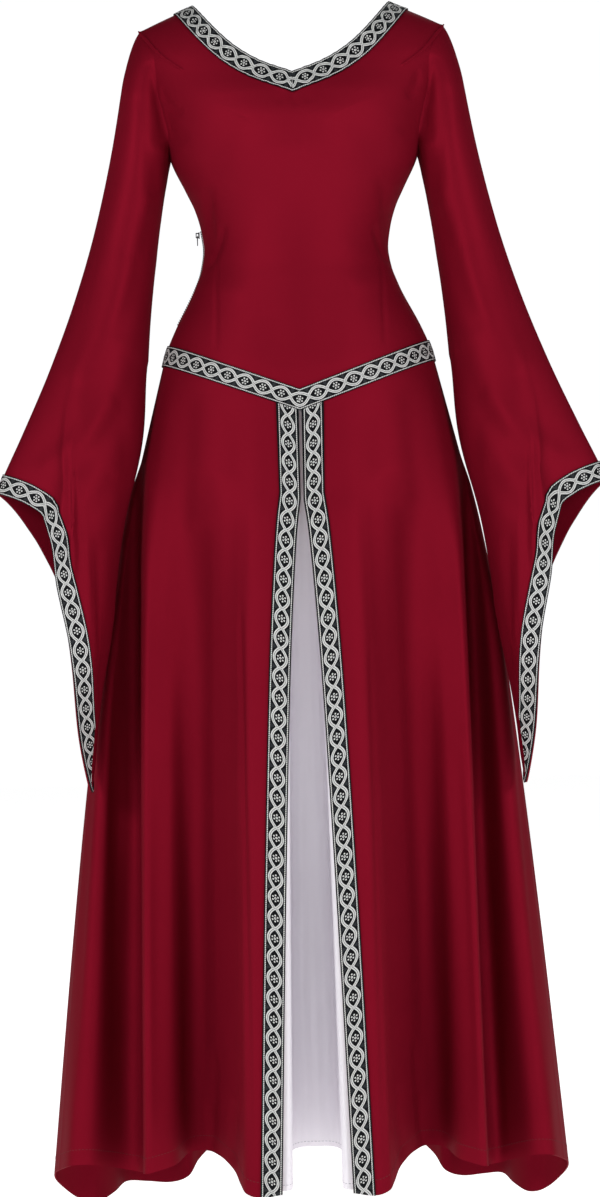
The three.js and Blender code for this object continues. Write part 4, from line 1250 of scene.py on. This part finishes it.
def lay_ribbon(place, side, trim, points, texture, length):
    """A ribbon raised from the cloth under it, in place of its CAD node. A cuff's is closed round."""
    closed = place == "cuff"
    lift, wall = trim.lift / MM, trim.wall / MM
    raised = points + normals_of(points, closed) * (lift + wall)
    obj = sheet_from(f"{place}_ribbon_{side}", raised, wall, material_for("ribbon"), texture, closed)
    finish_piece(obj, "woven_ribbon", f"{place}_trim_{side}")


# Stitches

def on_line(points, run, at):
    """Places on a line of points at these running lengths."""
    return np.stack([np.interp(at, run, points[:, axis]) for axis in range(3)], axis=-1)


def stitch_line(name, points, normals, material):
    """A row of stitches along a line of points: one square raised in its middle, repeated and laid out."""
    run = lengths(points[None], 1)[0]
    count = int(run[-1] // (STITCH_LONG + STITCH_GAP))
    if count < 1:
        raise RuntimeError(name + " is too short for a stitch")
    bpy.ops.object.select_all(action="DESELECT")
    bpy.ops.mesh.primitive_plane_add(size=2, calc_uvs=False)
    obj = name_new(name)
    bpy.ops.object.mode_set(mode="EDIT")
    bpy.ops.mesh.select_all(action="SELECT")
    bpy.ops.mesh.poke()
    bpy.ops.object.mode_set(mode="OBJECT")
    repeat_piece(obj, count, (0, 0, 1))
    flat = vertex_places(obj.data)
    number = np.rint(flat[:, 2]).astype(int)
    start = number * (STITCH_LONG + STITCH_GAP) + STITCH_GAP / 2
    ends = [on_line(points, run, start + k * STITCH_LONG) for k in (0, 1)]
    normal = unit(on_line(normals, run, start))
    side = unit(np.cross(normal, ends[1] - ends[0]))
    crown = np.abs(flat[:, :1]) < 0.5
    places = mix(*ends, (flat[:, :1] + 1) / 2) + (side * flat[:, 1:2] + normal * crown) * STITCH_HALF
    place_vertices(obj.data, places * MM)
    obj.data.materials.append(material)
    return obj


# Settings

class GownClothSettings(bpy.types.PropertyGroup):
    """Sizes and colours of the cloth."""

    wall: FloatProperty(
        name="Wall", description="Thickness of the crimson cloth", default=CLOTH_WALL * MM, unit="LENGTH"
    )
    creases: FloatProperty(
        name="Creases", description="Share of the full height of the creases", default=1.25, subtype="FACTOR"
    )
    crimson: FloatVectorProperty(
        name="Crimson", description="Gown's crimson", default=linear(CRIMSON_LIT), size=4, subtype="COLOR"
    )
    satin: FloatVectorProperty(
        name="Satin", description="White of the inset", default=linear(WHITE_SATIN), size=4, subtype="COLOR"
    )


class GownTrimSettings(bpy.types.PropertyGroup):
    """Sizes and colours of the ribbons, and the zip's teeth."""

    wall: FloatProperty(
        name="Ribbon wall", description="Thickness of the ribbon", default=0.001, unit="LENGTH"
    )
    lift: FloatProperty(
        name="Lift", description="Gap between cloth and ribbon", default=0.0008, unit="LENGTH"
    )
    teeth: IntProperty(name="Teeth", description="Number of zip teeth that show", default=44)
    silver: FloatVectorProperty(
        name="Silver", description="Silver thread", default=linear(RIBBON_SILVER), size=4, subtype="COLOR"
    )
    ground: FloatVectorProperty(
        name="Ground", description="Ribbon's black", default=linear(RIBBON_BLACK), size=4, subtype="COLOR"
    )


class GownStageSettings(bpy.types.PropertyGroup):
    """Camera of the photo."""

    distance: FloatProperty(
        name="Distance", description="From the camera to the shoulders' plane", default=2.8, unit="LENGTH"
    )
    lens: FloatProperty(name="Lens", description="Focal length in millimetres", default=70.2)


# Operators

class GOWN_OT_bodice(bpy.types.Operator):
    """Builds the two bodice panels"""

    bl_idname = "gown.bodice"
    bl_label = "Bodice"

    def execute(self, context):
        cloth = context.scene.gown_cloth
        for facing in ("front", "back"):
            hang_panel("bodice_" + facing, bodice_sheet(facing, cloth.creases), cloth.wall / MM)
        return {"FINISHED"}


class GOWN_OT_skirt(bpy.types.Operator):
    """Builds the skirt's front panels and its back panel"""

    bl_idname = "gown.skirt"
    bl_label = "Skirt"

    def execute(self, context):
        cloth = context.scene.gown_cloth
        for side in ("left", "right"):
            hang_panel("skirt_front_" + side, skirt_sheet(side, cloth.creases), cloth.wall / MM)
        hang_panel("skirt_back", skirt_back_sheet(cloth.creases), cloth.wall / MM)
        return {"FINISHED"}


class GOWN_OT_inset(bpy.types.Operator):
    """Builds the white inset"""

    bl_idname = "gown.inset"
    bl_label = "Inset"

    def execute(self, context):
        points = inset_sheet(context.scene.gown_cloth.creases)
        hang_panel("inset", points, INSET_WALL, "satin", "white_satin")
        return {"FINISHED"}


class GOWN_OT_sleeves(bpy.types.Operator):
    """Builds the two sleeves"""

    bl_idname = "gown.sleeves"
    bl_label = "Sleeves"

    def execute(self, context):
        cloth = context.scene.gown_cloth
        for side in ("left", "right"):
            hang_panel("sleeve_" + side, sleeve_sheet(side, cloth.creases), cloth.wall / MM, closed=True)
        return {"FINISHED"}


class GOWN_OT_ribbons(bpy.types.Operator):
    """Builds the woven ribbons on the neckline, girdle, skirt fronts and cuffs"""

    bl_idname = "gown.ribbons"
    bl_label = "Ribbons"

    def execute(self, context):
        for sides, ribbons in RIBBONS:
            for side in sides:
                for place, ribbon in ribbons:
                    lay_ribbon(place, side, context.scene.gown_trim, *ribbon(side))
        return {"FINISHED"}


class GOWN_OT_zip(bpy.types.Operator):
    """Builds the teeth of the side zip, and gives the slider and pull their metal"""

    bl_idname = "gown.zip"
    bl_label = "Zip"

    def execute(self, context):
        low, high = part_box("zip_chain")
        teeth = context.scene.gown_trim.teeth
        pitch = (high.z - low.z) / teeth
        bpy.ops.object.select_all(action="DESELECT")
        bpy.ops.mesh.primitive_cube_add(size=1)
        obj = name_new("zip_teeth")
        obj.data.transform(Matrix.Diagonal((TOOTH_THICK * MM, high.y - low.y, pitch * TOOTH_SHARE, 1)))
        rounding = obj.modifiers.new("Edge", "BEVEL")
        rounding.width = TOOTH_ROUNDING * MM
        only_select(obj)
        bpy.ops.object.modifier_apply(modifier=rounding.name)
        repeat_piece(obj, teeth, (0, 0, pitch))
        # Each tooth moves out to the side seam at its own level
        places = vertex_places(obj.data)
        places[:, 2] += low.z + pitch / 2
        tooth_z = low.z + (np.floor((places[:, 2] - low.z) / pitch) + 0.5) * pitch
        places[:, 0] += -(along(BODY, "z", "half", tooth_z / MM) + TOOTH_OFFSET) * MM
        place_vertices(obj.data, places)
        obj.data.materials.append(material_for("enamel"))
        finish_piece(obj, "zip_metal", "zip_chain")
        for name in ("zip_slider", "zip_pull"):
            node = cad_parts[name]
            node.data.materials.clear()
            node.data.materials.append(material_for("enamel"))
        return {"FINISHED"}


class GOWN_OT_stitches(bpy.types.Operator):
    """Builds the rows of stitches at the hems"""

    bl_idname = "gown.stitches"
    bl_label = "Stitches"

    def execute(self, context):
        ratio = context.scene.gown_cloth.creases
        for name, grid, row, key, slot in (
            ("left", skirt_sheet("left", ratio), HEM_ROW, "thread", "crimson_cloth"),
            ("right", skirt_sheet("right", ratio), HEM_ROW, "thread", "crimson_cloth"),
            ("back", skirt_back_sheet(ratio), HEM_ROW, "thread", "crimson_cloth"),
            ("inset", inset_sheet(ratio), INSET_HEM_ROW, "white_thread", "white_satin"),
        ):
            normals = normals_of(grid)[row]
            line = grid[row] + normals * STITCH_LIFT
            finish_piece(stitch_line("hem_stitches_" + name, line, normals, material_for(key)), slot)
        return {"FINISHED"}


class GOWN_OT_stage(bpy.types.Operator):
    """Builds the floor, the backdrop, the lights and the camera"""

    bl_idname = "gown.stage"
    bl_label = "Stage"

    def execute(self, context):
        stage = context.scene.gown_stage
        bpy.ops.mesh.primitive_plane_add(size=FLOOR_SIDE, location=(0, 0, FLOOR_Z))
        floor = name_new("floor")
        # White studio paper: it gives back nearly all light, so that no floor line shows
        backdrop, tree, shader = new_material("Backdrop")
        surface = {
            "Base Color": linear(BACKDROP),
            "Roughness": 0.9,
            "Emission Color": linear(BACKDROP),
            "Emission Strength": 0.9,
        }
        fill_sockets(tree, shader, surface.items())
        floor.data.materials.append(backdrop)
        world = bpy.data.worlds.new("Studio")
        context.scene.world = world
        world.use_nodes = True
        sky = world.node_tree
        # The studio is bright to the camera and dim as a light on the cloth
        seen = add_node(sky, "ShaderNodeLightPath").outputs["Is Camera Ray"]
        strength = add_node(sky, "ShaderNodeMapRange", [("Value", seen), ("To Min", 0.08), ("To Max", 1.1)])
        light = {"Color": linear(STUDIO_LIGHT), "Strength": strength.outputs[0]}
        fill_sockets(sky, sky.nodes["Background"], light.items())
        for name, place, aim, side, watts in LAMPS:
            bpy.ops.object.light_add(type="AREA", location=place)
            lamp = context.object
            lamp.name = name
            lamp.data.shape = "SQUARE"
            lamp.data.size = side
            lamp.data.energy = watts
            lamp.rotation_mode = "QUATERNION"
            lamp.rotation_quaternion = (Vector(aim) - Vector(place)).to_track_quat("-Z", "Y")
        context.scene.view_settings.view_transform = "Standard"
        bpy.ops.object.camera_add(location=(CAMERA_X, -stage.distance, CAMERA_Z))
        camera = context.object
        camera.name = "photo_camera"
        camera.data.sensor_fit = "VERTICAL"
        camera.data.sensor_height = 36
        camera.data.lens = stage.lens
        camera.data.clip_start = 0.05
        camera.rotation_mode = "QUATERNION"
        level = Vector((0, stage.distance, 0)).to_track_quat("-Z", "Y")
        roll = Matrix.Rotation(math.radians(CAMERA_ROLL_DEG), 3, "Z").to_quaternion()
        camera.rotation_quaternion = level @ roll
        context.scene.camera = camera
        return {"FINISHED"}


class GOWN_PT_panel(bpy.types.Panel):
    """Settings and buttons of the gown"""

    bl_idname = "GOWN_PT_panel"
    bl_label = "Gown"
    bl_space_type = "VIEW_3D"
    bl_region_type = "UI"
    bl_category = "Gown"

    def draw(self, context):
        scene = context.scene
        for group, names in (
            (scene.gown_cloth, ("wall", "creases", "crimson", "satin")),
            (scene.gown_trim, ("wall", "lift", "teeth", "silver", "ground")),
            (scene.gown_stage, ("distance", "lens")),
        ):
            for name in names:
                self.layout.prop(group, name)
        for operator in OPERATORS:
            self.layout.operator(operator.bl_idname)


OPERATORS = (
    GOWN_OT_bodice,
    GOWN_OT_skirt,
    GOWN_OT_inset,
    GOWN_OT_sleeves,
    GOWN_OT_ribbons,
    GOWN_OT_zip,
    GOWN_OT_stitches,
    GOWN_OT_stage,
)
CLASSES = (GownClothSettings, GownTrimSettings, GownStageSettings, *OPERATORS, GOWN_PT_panel)


def register():
    """Registers the classes and the scene's settings."""
    for cls in CLASSES:
        bpy.utils.register_class(cls)
    bpy.types.Scene.gown_cloth = PointerProperty(type=GownClothSettings)
    bpy.types.Scene.gown_trim = PointerProperty(type=GownTrimSettings)
    bpy.types.Scene.gown_stage = PointerProperty(type=GownStageSettings)


def unregister():
    """Takes the settings and the classes away again."""
    del bpy.types.Scene.gown_stage, bpy.types.Scene.gown_trim, bpy.types.Scene.gown_cloth
    for cls in reversed(CLASSES):
        bpy.utils.unregister_class(cls)


def main():
    """Builds the whole gown."""
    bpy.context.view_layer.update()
    register()
    bpy.ops.gown.bodice()
    bpy.ops.gown.skirt()
    bpy.ops.gown.inset()
    bpy.ops.gown.sleeves()
    bpy.ops.gown.ribbons()
    bpy.ops.gown.zip()
    bpy.ops.gown.stitches()
    bpy.ops.gown.stage()


if __name__ == "__main__":
    main()
